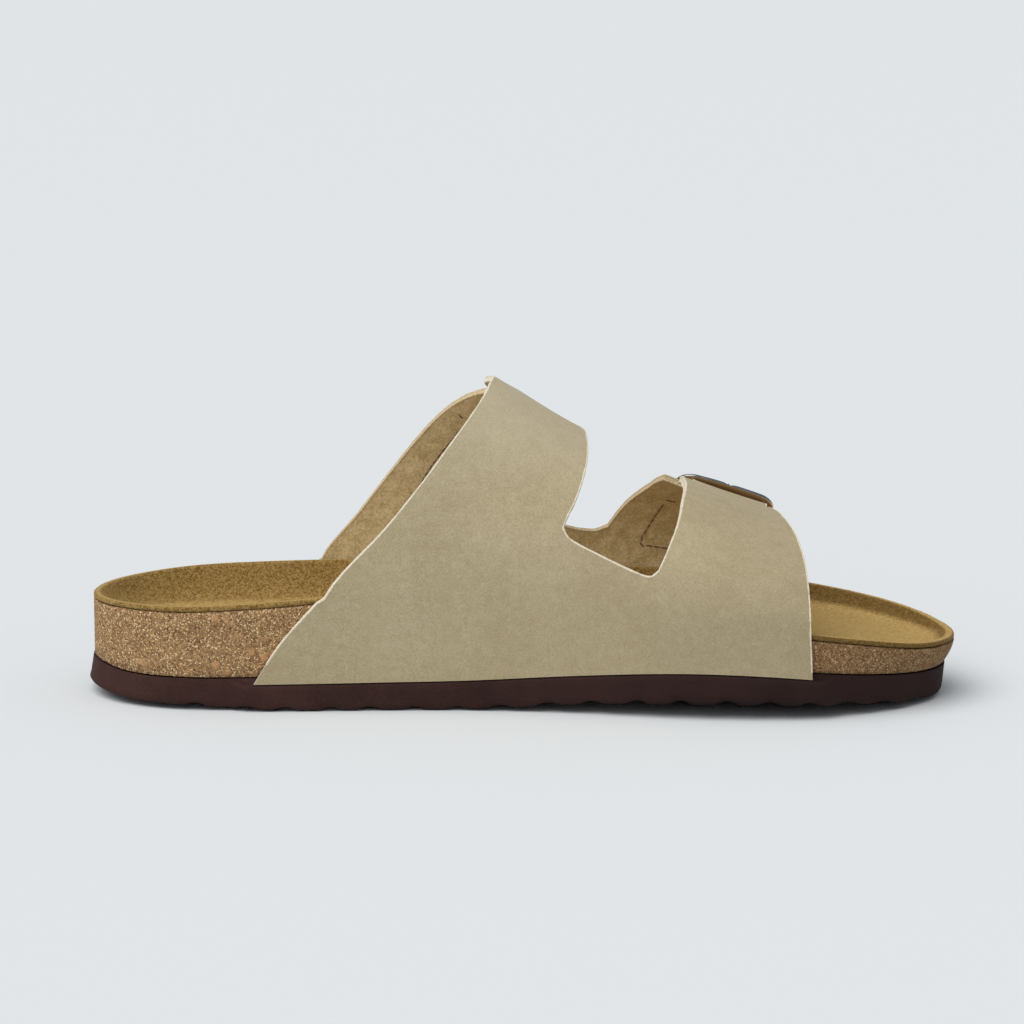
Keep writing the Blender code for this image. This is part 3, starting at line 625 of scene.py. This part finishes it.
def strap_frame(strap, girth):
    """Centre, across, along and outward directions on a strap, with the shears of a step across."""
    small = 0.0005
    station = curve(strap.centre, girth)
    centre, out = girth_point(station, girth)
    by_station = girth_point(station + small, girth)[0] - girth_point(station - small, girth)[0]
    by_station /= 2 * small
    by_station -= out * by_station.dot(out)
    if girth < small:
        across = by_station.normalized()
        return station, 1 / by_station.length, 0.0, centre, across, out.cross(across), out
    back = girth_point(curve(strap.centre, girth - small), girth - small)[0]
    ahead = girth_point(curve(strap.centre, girth + small), girth + small)[0]
    along = ahead - back
    along = (along - out * along.dot(out)).normalized()
    across = along.cross(out)
    by_girth = (girth_point(station, girth + small)[0] - centre) / small
    by_girth -= out * by_girth.dot(out)
    g11, g12, g22 = by_station.dot(by_station), by_station.dot(by_girth), by_girth.dot(by_girth)
    r1, r2 = across.dot(by_station), across.dot(by_girth)
    det = g11 * g22 - g12 * g12
    return station, (r1 * g22 - r2 * g12) / det, (r2 * g11 - r1 * g12) / det, centre, across, along, out


def girth_to(station, h):
    """Girth from the crest to h on the outer side."""
    points = [section_point(station, 2 + (h - 2) * k / 40) for k in range(41)]
    return sum((b - a).length for a, b in zip(points, points[1:]))


def strap_rise(strap):
    """(girth, height) of the strap's inner face over the outer piece, the bar and the tab."""
    end = girth_to(curve(strap.centre, 0.024), 4 - strap.outer_end)
    over_bar = BAR_HEIGHT + BAR_RADIUS + 1.3 * GAP
    over_tab = WALL + TAB + 2.3 * GAP
    return ((0.0, 0.0), (end - 0.007, 0.0), (end - 0.001, WALL - BITE), (strap.bar - STRAP_LIFT, WALL - BITE),
            (strap.bar - OVER_BAR, over_bar), (strap.bar + OVER_BAR, over_bar),
            (strap.bar + TAB_REACH, over_tab), (strap.bar + STRAP_LIFT, WALL + GAP), (strap.tip, WALL + GAP))


FINE = 6
CURL_FROM = 0.35
ROLL = ((0.0, 0), (0.0075, 1), (0.0095, 1), (0.026, 0))
ROLL_OUT = {"instep": 0.0016, "front": 0.0008}
ROLL_DOWN = {"instep": 0.0018, "front": 0.0010}


def leather_rows(cut, side, crest_levels):
    """Point rows of one leather piece: its base, and its two strap parts up to their levels."""
    def point(station, climb):
        return section_point(station, climb if side == MEDIAL else 4 - climb)

    left, right = cut.notch[0], cut.notch[-1]
    top = [(curve(cut.rear, left[1]) * (1 - u) + left[0] * u, left[1]) for u in spread(0, 1, 8 * FINE)]
    top += [(station, curve(cut.notch, station)) for station in spread(left[0], right[0], 5 * FINE)[1:]]
    top += [(right[0] * (1 - u) + curve(cut.front_front, right[1]) * u, right[1])
            for u in spread(0, 1, 7 * FINE)[1:]]
    base = []
    for level in spread(0, 1, 4 * FINE) + spread(1, 2, 2 * FINE)[1:]:
        row = []
        for k, (top_station, top_climb) in enumerate(top):
            climb = level if level <= 1 else 1 + (top_climb - 1) * (level - 1)
            rear, front = curve(cut.rear, climb), curve(cut.front_front, climb)
            top_rear, top_front = curve(cut.rear, top_climb), curve(cut.front_front, top_climb)
            share = (top_station - top_rear) / (top_front - top_rear)
            share = k / (len(top) - 1) * (1 - level / 2) + share * level / 2
            row.append(point(rear + (front - rear) * share, climb))
        base.append(row)
    parts = [base]
    for rear, front, first, end, columns in ((cut.rear, cut.instep_front, left[1], crest_levels[0], 8),
                                             (cut.front_rear, cut.front_front, right[1], crest_levels[1], 7)):
        parts.append([[point(station, climb)
                       for station in spread(curve(rear, climb), curve(front, climb), columns * FINE)]
                      for climb in spread(first, end, 8 * FINE)])
    return parts


def strap_rows(strap, half, columns):
    """Rows of a strap's free end, from the crest over the buckle's bar to the rounded tip."""
    heights = strap_rise(strap)
    rows = []
    body_end = strap.tip - TIP_ROUND
    stops = spread(0, strap.bar - OVER_BAR, 9 * FINE) + spread(strap.bar + OVER_BAR, body_end, 5 * FINE)
    turns = spread(0, math.pi / 2 - TIP_BLUNT, 3 * FINE)[1:]
    stops += [body_end + TIP_ROUND * math.sin(angle) for angle in turns]
    for girth in stops:
        width = eased(((0.0, half), (STRAP_TAPER, STRAP_END_HALF)), girth)
        if girth > body_end:
            width *= math.sqrt(1 - ((girth - body_end) / TIP_ROUND) ** 2)
        station, by_station, by_girth = strap_frame(strap, girth)[:3]
        roll = eased(ROLL, girth)
        row = []
        for across in spread(-width, width, columns * FINE):
            corner = roll * max((-across / width - CURL_FROM) / (1 - CURL_FROM), 0.0) ** 2
            moved = across - ROLL_OUT[strap.name] * corner
            centre, out = girth_point(station + by_station * moved, max(girth + by_girth * moved, 0.0))
            row.append(centre + out * (eased(heights, girth) - ROLL_DOWN[strap.name] * corner))
        rows.append(row)
    return rows


felt = Finish("felt_backing", 0.95, sheen_weight=0.35, sheen_roughness=0.4,
              sheen_tint=(1.0, 0.86, 0.62, 1.0), specular=0.05)
fuzz = felt.noise(0.0007, 4.0, 0.7)
matted = felt.noise(0.0035, 2.0)
felt_tone = felt.between(fuzz * 0.65 + matted * 0.35, 0.30, 0.70)
felt_colour = felt.mix((0.440, 0.325, 0.145), (0.840, 0.680, 0.410), felt_tone)
felt_backing = felt.finish(felt_colour, felt.bump(fuzz, 0.65, 0.0004))

nubuck = Finish("nubuck", 0.88, sheen_weight=0.12, sheen_roughness=0.5,
                sheen_tint=(1.0, 0.93, 0.80, 1.0), specular=0.12)
pile = nubuck.noise(0.00045, 3.0, 0.6)
patches = nubuck.noise(0.026, 2.0, 0.5)
rubbed = nubuck.noise(0.003, 2.0, 0.5)
nubuck_tone = nubuck.between(pile * 0.60 + rubbed * 0.17 + patches * 0.23, 0.25, 0.75)
nubuck_colour = nubuck.mix((0.340, 0.270, 0.154), (0.560, 0.476, 0.314), nubuck_tone)
height = nubuck.channel(nubuck.place, "Blue")
length = nubuck.channel(nubuck.place)
# Painted shade: the nubuck is darkened low down, more so towards the toe, for the light falling from above
# and the heel side.
painted_low_shade = nubuck.between(height, 0.020, 0.078, 0.30, 0.0) * nubuck.between(length, -0.06, 0.06, 0.35, 1.0)
nubuck_colour = nubuck.mix(nubuck_colour, (0.200, 0.160, 0.092), painted_low_shade)
# Painted light: the nubuck is lightened towards the tops of the straps, where the light from above falls.
painted_top_light = nubuck.between(height, 0.060, 0.092, 0.0, 0.35)
nubuck_colour = nubuck.mix(nubuck_colour, (0.560, 0.500, 0.370), painted_top_light)
taupe_nubuck = nubuck.finish(nubuck_colour, nubuck.bump(pile * 0.7 + rubbed * 0.3, 0.35, 0.0003))

cut_edge = Finish("raw_leather_edge", 0.9, sheen_weight=0.2, specular=0.1)
fibres = cut_edge.noise(0.0005, 3.0, 0.6)
fibre_tone = cut_edge.between(fibres, 0.3, 0.65)
edge_colour = cut_edge.mix((0.620, 0.530, 0.375), (0.830, 0.760, 0.610), fibre_tone)
raw_edge = cut_edge.finish(edge_colour, cut_edge.bump(fibres, 0.5, 0.0003))

soft_edge = Finish("soft_felt_edge", 0.95, sheen_weight=0.3, sheen_roughness=0.4,
                   sheen_tint=(1.0, 0.88, 0.68, 1.0), specular=0.05)
lint = soft_edge.noise(0.0006, 4.0, 0.7)
lint_tone = soft_edge.between(lint, 0.3, 0.7)
lint_colour = soft_edge.mix((0.470, 0.355, 0.195), (0.700, 0.580, 0.390), lint_tone)
felt_edge = soft_edge.finish(lint_colour, soft_edge.bump(lint, 0.6, 0.0004))


def apply_modifiers(piece):
    """Turns a piece's modifiers into its plain mesh."""
    finished = bpy.data.meshes.new_from_object(piece.evaluated_get(bpy.context.evaluated_depsgraph_get()))
    piece.modifiers.clear()
    piece.data = finished


def cut_edges(sheet):
    """Closed runs of points along a sheet's cut edges."""
    sheet.edges.index_update()
    seen = set()
    for edge in sheet.edges:
        if not edge.is_boundary or edge.index in seen:
            continue
        first = corner = edge.link_loops[0]
        run = []
        while not run or corner != first:
            run.append(corner.vert)
            seen.add(corner.edge.index)
            corner = corner.link_loop_next
            while not corner.edge.is_boundary:
                corner = corner.link_loop_radial_next.link_loop_next
        yield run


BEAD_SIDES = 10
BEAD_RADIUS = 0.00031
BEAD_SUNK = 0.55
BEAD_RISE = 0.7
BEAD_WAVER = 0.35
BEAD_WAVES = 6
GLUED_BELOW = 0.0142
SHORTEST_EDGE = 30
WELD = 0.00010
FELT_SLOT = 1
RIM_SLOT = 2
LEATHER_CREASE = math.radians(55)


def edge_beads(sheet, thickness, radius):
    """Rounded, slightly uneven beads along both corners of a sheet's free edges."""
    verts = []
    faces = []
    for run in cut_edges(sheet):
        count = len(run)
        if count < SHORTEST_EDGE:
            continue
        for rise in (radius * BEAD_RISE, thickness - radius * BEAD_RISE):
            first = len(verts)
            free = []
            for k, vert in enumerate(run):
                ahead = (run[(k + 1) % count].co - run[k - 1].co).normalized()
                side = ahead.cross(vert.normal).normalized()
                wide = radius * (1 + BEAD_WAVER * noise.noise(vert.co / (radius * BEAD_WAVES)))
                centre = vert.co + vert.normal * rise - side * radius * BEAD_SUNK
                free.append(vert.co.z > GLUED_BELOW)
                for angle in spread(0, 2 * math.pi, BEAD_SIDES)[:-1]:
                    verts.append(centre + (side * math.cos(angle) + vert.normal * math.sin(angle)) * wide)
            for k in range(count):
                n = (k + 1) % count
                here, there = first + k * BEAD_SIDES, first + n * BEAD_SIDES
                if free[k] and free[n]:
                    for i in range(BEAD_SIDES):
                        j = (i + 1) % BEAD_SIDES
                        faces.append((here + i, there + i, there + j, here + j))
                elif free[k]:
                    faces.append(tuple(range(here, here + BEAD_SIDES)))
                elif free[n]:
                    faces.append(tuple(range(there, there + BEAD_SIDES))[::-1])
    return verts, faces


def leather_piece(name, panels, flip, rim_finish, thickness=WALL, bead=BEAD_RADIUS, cutter=None):
    """Felt-backed leather raised on its inner face's points, with a rounded raw edge."""
    points = []
    faces = []
    for rows in panels:
        width = len(rows[0])
        first = len(points)
        points += [point for row in rows for point in row]
        for i in range(len(rows) - 1):
            for j in range(width - 1):
                a = first + i * width + j
                corners = (a, a + 1, a + width + 1, a + width)
                faces.append(corners[::-1] if flip else corners)
    data = bpy.data.meshes.new(name)
    data.from_pydata([point - ORIGIN for point in points], [], faces)
    sheet = bmesh.new()
    sheet.from_mesh(data)
    bmesh.ops.remove_doubles(sheet, verts=sheet.verts, dist=WELD)
    sheet.normal_update()
    bead_verts, bead_faces = edge_beads(sheet, thickness, bead)
    sheet.to_mesh(data)
    sheet.free()
    for finish in (taupe_nubuck, felt_backing, rim_finish):
        data.materials.append(finish)
    piece = in_scene(name, data)
    wall = piece.modifiers.new("wall", "SOLIDIFY")
    wall.thickness = thickness
    wall.offset = 1.0
    wall.material_offset = FELT_SLOT
    wall.material_offset_rim = RIM_SLOT
    if cutter:
        punched = piece.modifiers.new("holes", "BOOLEAN")
        punched.object = cutter
        punched.solver = "EXACT"
    apply_modifiers(piece)
    body = bmesh.new()
    body.from_mesh(piece.data)
    used = sorted({i for face in bead_faces for i in face})
    corners = {i: body.verts.new(bead_verts[i]) for i in used}
    for face in bead_faces:
        body.faces.new([corners[i] for i in face]).material_index = RIM_SLOT
    body.to_mesh(piece.data)
    body.free()
    piece.data.shade_smooth()
    piece.data.set_sharp_from_angle(angle=LEATHER_CREASE)
    return piece


HOLE_RADIUS = 0.0014
SLOT_HALF = 0.0022
SLOT_BACK = 0.0040


def punch(mesh, strap, girth, half_length):
    """A round or oblong punch through a strap at a girth."""
    centre, across, along, out = strap_frame(strap, girth)[3:]
    spot = centre + out * (eased(strap_rise(strap), girth) + WALL / 2) - ORIGIN
    turn = Matrix((across, along, out)).transposed().to_4x4()
    rim = []
    for angle in spread(0.01, 2 * math.pi + 0.01, 28)[:-1]:
        y = math.sin(angle) * HOLE_RADIUS + math.copysign(half_length, math.sin(angle))
        rim.append((math.cos(angle) * HOLE_RADIUS, y))
    ends = [[mesh.verts.new(Matrix.Translation(spot) @ turn @ Vector((x, y, z))) for x, y in rim]
            for z in (-WALL * 0.9, WALL * 0.9)]
    mesh.faces.new(ends[0][::-1])
    mesh.faces.new(ends[1])
    for k in range(len(rim)):
        j = (k + 1) % len(rim)
        mesh.faces.new((ends[0][k], ends[0][j], ends[1][j], ends[1][k]))


punches = bmesh.new()
for strap in (INSTEP, FRONT):
    for girth in strap.holes:
        punch(punches, strap, girth, 0.0)
    punch(punches, strap, strap.bar - SLOT_BACK, SLOT_HALF)
bmesh.ops.recalc_face_normals(punches, faces=punches.faces)
for face in punches.faces:
    face.material_index = RIM_SLOT
punch_mesh = bpy.data.meshes.new("punches")
punches.to_mesh(punch_mesh)
punches.free()
for finish in (taupe_nubuck, felt_backing, raw_edge):
    punch_mesh.materials.append(finish)
punch_tool = in_scene("punches", punch_mesh)

inner_panels = leather_rows(INNER_CUT, MEDIAL, (2.0, 2.0))
for strap, rear, front, columns in ((INSTEP, INNER_CUT.rear, INNER_CUT.instep_front, 8),
                                    (FRONT, INNER_CUT.front_rear, INNER_CUT.front_front, 7)):
    half = (front[-1][1] - rear[-1][1]) / 2 / strap_frame(strap, 0.0)[1]
    inner_panels.append(strap_rows(strap, half, columns))
outer_panels = leather_rows(OUTER_CUT, LATERAL, (INSTEP.outer_end, FRONT.outer_end))
outer_leather = leather_piece("outer_leather", outer_panels, True, felt_edge)
inner_leather = leather_piece("inner_leather", inner_panels, False, raw_edge, cutter=punch_tool)
bpy.data.objects.remove(punch_tool)
for leather in (outer_leather, inner_leather):
    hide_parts("upper")
    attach(leather, "root")


# Buckles: a die-cast frame with rounded bars and a centre bar, and a wire prong bent round it
# that lies in a notch of the frame. The metal is plated dark, with a painted reflection of the
# leather in warm brown on its undersides.

PRONG_RADIUS = 0.0008
PRONG_NOTCH = 0.0011
FRAME_HALF_X = 0.0162
FRAME_HALF_Y = 0.0137
FRAME_SIDE = 0.0031
FRAME_BAR = 0.0042
FRAME_THICK = 0.0017
FRAME_BASE = 0.0032
OUTER_ROUND = 0.0060
INNER_ROUND = 0.0012
FRAME_DISH = 0.0004
FRAME_TILT = 0.0009
FRAME_BOW = 0.0007
PROFILE = 20
BAR_SQUARE = 0.75
METAL_CREASE = math.radians(50)
TAPER_FROM = 0.55
TAPER_OVER = 0.4505
TAPER_POWER = 2.4

plating = Finish("dark_plating", 0.24, metallic=1.0)
smudge = plating.noise(0.004, 3.0)
scuff = plating.noise(0.0007, 2.0)
facing_for_painted_reflection = plating.channel(plating.node("ShaderNodeNewGeometry", {}, {}, "Normal"), "Blue")
metal = plating.mix((0.200, 0.208, 0.205), (0.285, 0.292, 0.285), plating.between(smudge, 0.35, 0.75))
# Painted reflection: surfaces facing down are tinted warm brown, standing in for the leather reflected in the
# metal.
metal = plating.mix(metal, (0.560, 0.360, 0.190), plating.between(facing_for_painted_reflection, 0.20, -0.15) * 0.85)
dulled = plating.between(smudge, 0.3, 0.7, 0.22, 0.29)
buckle_plating = plating.finish(metal, plating.bump(scuff, 0.10, 0.0002), dulled)


def frame_outline(half_x, half_y, radius, corner=12, straight=14):
    """Points round a rectangle with rounded corners, as many on each side."""
    points = []
    for turn in range(4):
        middle_x = (half_x - radius) * (1 if turn in (0, 3) else -1)
        middle_y = (half_y - radius) * (1 if turn in (0, 1) else -1)
        for angle in spread(turn * math.pi / 2, (turn + 1) * math.pi / 2, corner):
            x, y = middle_x + radius * math.cos(angle), middle_y + radius * math.sin(angle)
            points.append(Vector((x, y, 0)))
    sides = []
    for k, point in enumerate(points):
        follower = points[(k + 1) % len(points)]
        steps = straight if (k + 1) % (corner + 1) == 0 else 1
        sides += [point.lerp(follower, u) for u in spread(0, 1, steps)[:-1]]
    return sides


def frame_base(y):
    """Underside of a buckle's frame over the strap's inner face, dished towards its ends."""
    return FRAME_BASE + FRAME_DISH * (y / FRAME_HALF_Y) ** 2 + FRAME_TILT * max(y, 0) / FRAME_HALF_Y


def rod(points, radii, sides=20):
    """Points and faces of a round bar along a path, closed at both ends."""
    verts = []
    for k, (point, radius) in enumerate(zip(points, radii)):
        ahead = (points[min(k + 1, len(points) - 1)] - points[max(k - 1, 0)]).normalized()
        side = ahead.cross(Vector((0, 0.3, 1))).normalized()
        lift = side.cross(ahead)
        verts += [point + (side * math.cos(a) + lift * math.sin(a)) * radius
                  for a in spread(0, 2 * math.pi, sides)[:-1]]
    ends = [tuple(range(sides))[::-1], tuple(range(len(verts) - sides, len(verts)))]
    return verts, ends + tube_faces(len(points), sides)


def buckle_piece(name, strap, verts, faces, node):
    """A metal piece given in the strap's own axes at the buckle's centre bar."""
    centre, across, along, out = strap_frame(strap, strap.bar)[3:]
    turn = Matrix.Translation(centre) @ Matrix((across, along, out)).transposed().to_4x4()
    piece = piece_from(name, [turn @ vert for vert in verts], faces, buckle_plating)
    piece.data.set_sharp_from_angle(angle=METAL_CREASE)
    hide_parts(node)
    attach(piece, "root")


REST = frame_base(-FRAME_HALF_Y + FRAME_BAR / 2) + FRAME_THICK + GAP + PRONG_RADIUS - PRONG_NOTCH
PRONG_PATH = ((-0.0023, BAR_HEIGHT - 0.0001), (-0.0036, BAR_HEIGHT + 0.0006), (-0.0062, REST - 0.0003),
              (-0.0085, REST), (-FRAME_HALF_Y + 0.0012, REST))
for strap in (INSTEP, FRONT):
    outer_line = frame_outline(FRAME_HALF_X, FRAME_HALF_Y, OUTER_ROUND)
    inner_line = frame_outline(FRAME_HALF_X - FRAME_SIDE, FRAME_HALF_Y - FRAME_BAR, INNER_ROUND)
    verts = []
    for a, b in zip(outer_line, inner_line):
        for angle in spread(0, 2 * math.pi, PROFILE)[:-1]:
            over, up = [0.5 + 0.5 * math.copysign(abs(wave) ** BAR_SQUARE, wave)
                        for wave in (math.cos(angle), math.sin(angle))]
            point = a.lerp(b, 1 - over)
            notch = ((PRONG_RADIUS, PRONG_NOTCH), (PRONG_RADIUS * 2.1, 0))
            seat = eased(notch, abs(point.x)) if point.y < 0 else 0
            height = frame_base(point.y) + FRAME_THICK * up - seat * max(up - 0.4, 0) / 0.6
            verts.append(Vector((point.x, point.y, height - FRAME_BOW * (point.x / FRAME_HALF_X) ** 2)))
    faces = tube_faces(len(outer_line), PROFILE, closed=True)
    reach = FRAME_HALF_X - FRAME_SIDE / 2
    bar_line = [Vector((x, 0, BAR_HEIGHT)) for x in spread(-reach, reach, 12)]
    bar_verts, bar_faces = rod(bar_line, [BAR_RADIUS] * len(bar_line))
    faces += [tuple(len(verts) + i for i in face) for face in bar_faces]
    buckle_piece("frame_" + strap.name, strap, verts + bar_verts, faces, "buckle_frame_" + strap.name)
    heights = PRONG_PATH[::-1]
    path = [Vector((0, y, curve(heights, y))) for y in spread(heights[-1][0], heights[0][0], 26)]
    taper = [PRONG_RADIUS * rounded(max(u - TAPER_FROM, 0) / TAPER_OVER, TAPER_POWER)
             for u in spread(0, 1, 26)]
    verts, faces = rod(path, taper)
    buckle_piece("prong_" + strap.name, strap, verts, faces, "buckle_prong_" + strap.name)


# Buckle tabs: short pieces of the same nubuck, cut thin, with raw edges. Each holds down the
# centre bar of its buckle on the outer piece, under the strap's end.

TAB_HALF = 0.009
TAB_BEAD = 0.00022

for strap in (INSTEP, FRONT):
    rows = []
    for girth in spread(strap.bar + BAR_RADIUS + GAP, strap.bar + TAB_REACH, 10):
        station, by_station, by_girth = strap_frame(strap, girth)[:3]
        row = []
        for across in spread(-TAB_HALF, TAB_HALF, 40):
            centre, out = girth_point(station + by_station * across, girth + by_girth * across)
            row.append(centre + out * (WALL + GAP))
        rows.append(row)
    tab = leather_piece("tab_" + strap.name, [rows], False, raw_edge, TAB, TAB_BEAD)
    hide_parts("buckle_tab_" + strap.name)
    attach(tab, "root")


# Stitches: brown thread that sews each buckle's tab to the outer piece in a U with a short tack
# above it, seen on the felt inside and under the strap's end outside.

STITCH = {"Pitch": 0.0024, "Length": 0.0024, "Radius": 0.00021}
THREAD_RISE = 0.00008
SEAMS = {"instep": ((0.1109, 1.390), (0.1103, 1.376), (0.1062, 1.307), (0.1025, 1.246), (0.0993, 1.189),
                    (0.1003, 1.176), (0.1130, 1.160), (0.1262, 1.150), (0.1268, 1.162), (0.1308, 1.270),
                    (0.1325, 1.350)),
         "front": ((0.1758, 1.364), (0.1738, 1.279), (0.1717, 1.201), (0.1692, 1.112), (0.1698, 1.098),
                   (0.1776, 1.095), (0.1930, 1.092), (0.2022, 1.094), (0.2030, 1.106), (0.2036, 1.200),
                   (0.2042, 1.290), (0.2046, 1.364))}
TACKS = {"instep": ((0.1121, 1.470), (0.1136, 1.458), (0.1146, 1.446)),
         "front": ((0.1780, 1.427), (0.1788, 1.429))}

thread = Finish("brown_thread", 0.8, sheen_weight=0.2)
twist = thread.noise(0.0004, 2.0)
thread_colour = thread.mix((0.075, 0.042, 0.022), (0.165, 0.100, 0.055), twist)
brown_thread = thread.finish(thread_colour, thread.bump(twist, 0.4, 0.0001))


def stitching_tree(finish):
    """Geometry Nodes that lay a stitch at every pitch along a line of edges."""
    tree = bpy.data.node_groups.new("stitching", "GeometryNodeTree")
    face = tree.interface
    face.new_socket("Geometry", in_out="INPUT", socket_type="NodeSocketGeometry")
    for name in STITCH:
        face.new_socket(name, in_out="INPUT", socket_type="NodeSocketFloat")
    face.new_socket("Geometry", in_out="OUTPUT", socket_type="NodeSocketGeometry")

    def node(kind, links=(), **settings):
        made = tree.nodes.new(kind)
        for name, value in settings.items():
            setattr(made, name, value)
        for key, socket in links:
            tree.links.new(socket, made.inputs[key])
        return made

    given = node("NodeGroupInput").outputs
    line = node("GeometryNodeMeshToCurve", [("Mesh", given["Geometry"])])
    spaced = node("GeometryNodeResampleCurve", [("Curve", line.outputs[0]), ("Length", given["Pitch"])],
                  mode="LENGTH")
    bead = node("GeometryNodeMeshUVSphere")
    bead.inputs["Segments"].default_value = 10
    bead.inputs["Rings"].default_value = 8
    bead.inputs["Radius"].default_value = 1.0
    half = node("ShaderNodeMath", [(0, given["Length"])], operation="MULTIPLY")
    half.inputs[1].default_value = 0.5
    size = node("ShaderNodeCombineXYZ", [("X", half.outputs[0]), ("Y", given["Radius"]),
                                         ("Z", given["Radius"])])
    tangent = node("GeometryNodeInputTangent")
    turn = node("FunctionNodeAlignRotationToVector", [("Vector", tangent.outputs[0])], axis="X")
    laid = node("GeometryNodeInstanceOnPoints", [("Points", spaced.outputs[0]), ("Instance", bead.outputs[0]),
                                                 ("Rotation", turn.outputs[0]), ("Scale", size.outputs[0])])
    real = node("GeometryNodeRealizeInstances", [("Geometry", laid.outputs[0])])
    smooth = node("GeometryNodeSetShadeSmooth", [("Geometry", real.outputs[0])])
    dressed = node("GeometryNodeSetMaterial", [("Geometry", smooth.outputs[0])])
    dressed.inputs["Material"].default_value = finish
    node("NodeGroupOutput", [("Geometry", dressed.outputs[0])])
    return tree


stitching = stitching_tree(brown_thread)


def seam_line(corners, offset, steps=12):
    """Points on the outer piece along (station, climb) corners, at an offset from its inner face."""
    stops = []
    for (s0, c0), (s1, c1) in zip(corners, corners[1:]):
        stops += [(s0 + (s1 - s0) * u, 4 - (c0 + (c1 - c0) * u)) for u in spread(0, 1, steps)[:-1]]
    stops.append((corners[-1][0], 4 - corners[-1][1]))
    return [section_point(*stop) + section_normal(*stop) * offset for stop in stops]


verts = []
edges = []
for corners in (*SEAMS.values(), *TACKS.values()):
    for offset in (-THREAD_RISE, WALL + THREAD_RISE):
        line = seam_line(corners, offset)
        edges += [(len(verts) + k, len(verts) + k + 1) for k in range(len(line) - 1)]
        verts += [point - ORIGIN for point in line]
seam_mesh = bpy.data.meshes.new("tab_stitches")
seam_mesh.from_pydata(verts, edges, [])
stitches = in_scene("tab_stitches", seam_mesh)
sewn = stitches.modifiers.new("stitching", "NODES")
sewn.node_group = stitching
for socket in stitching.interface.items_tree:
    if socket.name in STITCH:
        sewn[socket.identifier] = STITCH[socket.name]
apply_modifiers(stitches)
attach(stitches, "root")


# Stage and camera: a plain pale paper floor under soft studio light, and the photograph's low
# view of the shoe's inner side. None of it belongs to the shoe.

CAMERA_AZIMUTH = math.radians(-1.0)
CAMERA_RISE = math.radians(10.0)
CAMERA_DISTANCE = 1.1
CAMERA_TARGET = Vector((0.1276, 0.0, 0.054)) - ORIGIN
PIXELS_PER_METRE = 3280
PHOTO_PIXELS = 1024
SENSOR = 36

back = Vector((math.sin(CAMERA_AZIMUTH) * math.cos(CAMERA_RISE),
               -math.cos(CAMERA_AZIMUTH) * math.cos(CAMERA_RISE), math.sin(CAMERA_RISE)))
right = Vector((math.cos(CAMERA_AZIMUTH), math.sin(CAMERA_AZIMUTH), 0.0))
lens = bpy.data.cameras.new("camera")
lens.sensor_width = SENSOR
lens.lens = SENSOR * PIXELS_PER_METRE * CAMERA_DISTANCE / PHOTO_PIXELS
lens.clip_start = 0.01
camera = in_scene("camera", lens)
camera.matrix_world = Matrix.Translation(CAMERA_TARGET + back * CAMERA_DISTANCE) @ Matrix(
    (right, back.cross(right), back)).transposed().to_4x4()
bpy.context.scene.camera = camera

FLOOR_HALF = 14.0
FLOOR_COLOUR = (0.745, 0.773, 0.795, 1.0)
SKY_COLOUR = (0.93, 0.96, 1.0, 1.0)
SKY_STRENGTH = 0.44
floor_mesh = bpy.data.meshes.new("floor")
floor_mesh.from_pydata([(x * FLOOR_HALF, y * FLOOR_HALF, 0.0)
                        for x, y in ((-1, -1), (1, -1), (1, 1), (-1, 1))], [], [(0, 1, 2, 3)])
paper = Finish("pale_floor", 0.9, specular=0.1)
floor_mesh.materials.append(paper.finish(FLOOR_COLOUR))
floor = in_scene("floor", floor_mesh)

world = bpy.data.worlds.new("studio")
world.use_nodes = True
sky = world.node_tree.nodes["Background"]
sky.inputs["Color"].default_value = SKY_COLOUR
sky.inputs["Strength"].default_value = SKY_STRENGTH
bpy.context.scene.world = world

Lamp = namedtuple("Lamp", "name towards power softness colour")
for lamp in (Lamp("key", (0.45, 0.36, -1.0), 2.00, 60, (1.0, 0.985, 0.955)),
             Lamp("front", (0.45, 1.0, -0.60), 0.36, 80, (1.0, 0.985, 0.96))):
    light = bpy.data.lights.new(lamp.name, "SUN")
    light.angle = math.radians(lamp.softness)
    light.energy = lamp.power
    light.color = lamp.colour
    source = in_scene(lamp.name, light)
    source.rotation_euler = Vector(lamp.towards).to_track_quat("-Z", "Y").to_euler()

bpy.context.scene.view_settings.view_transform = "Standard"
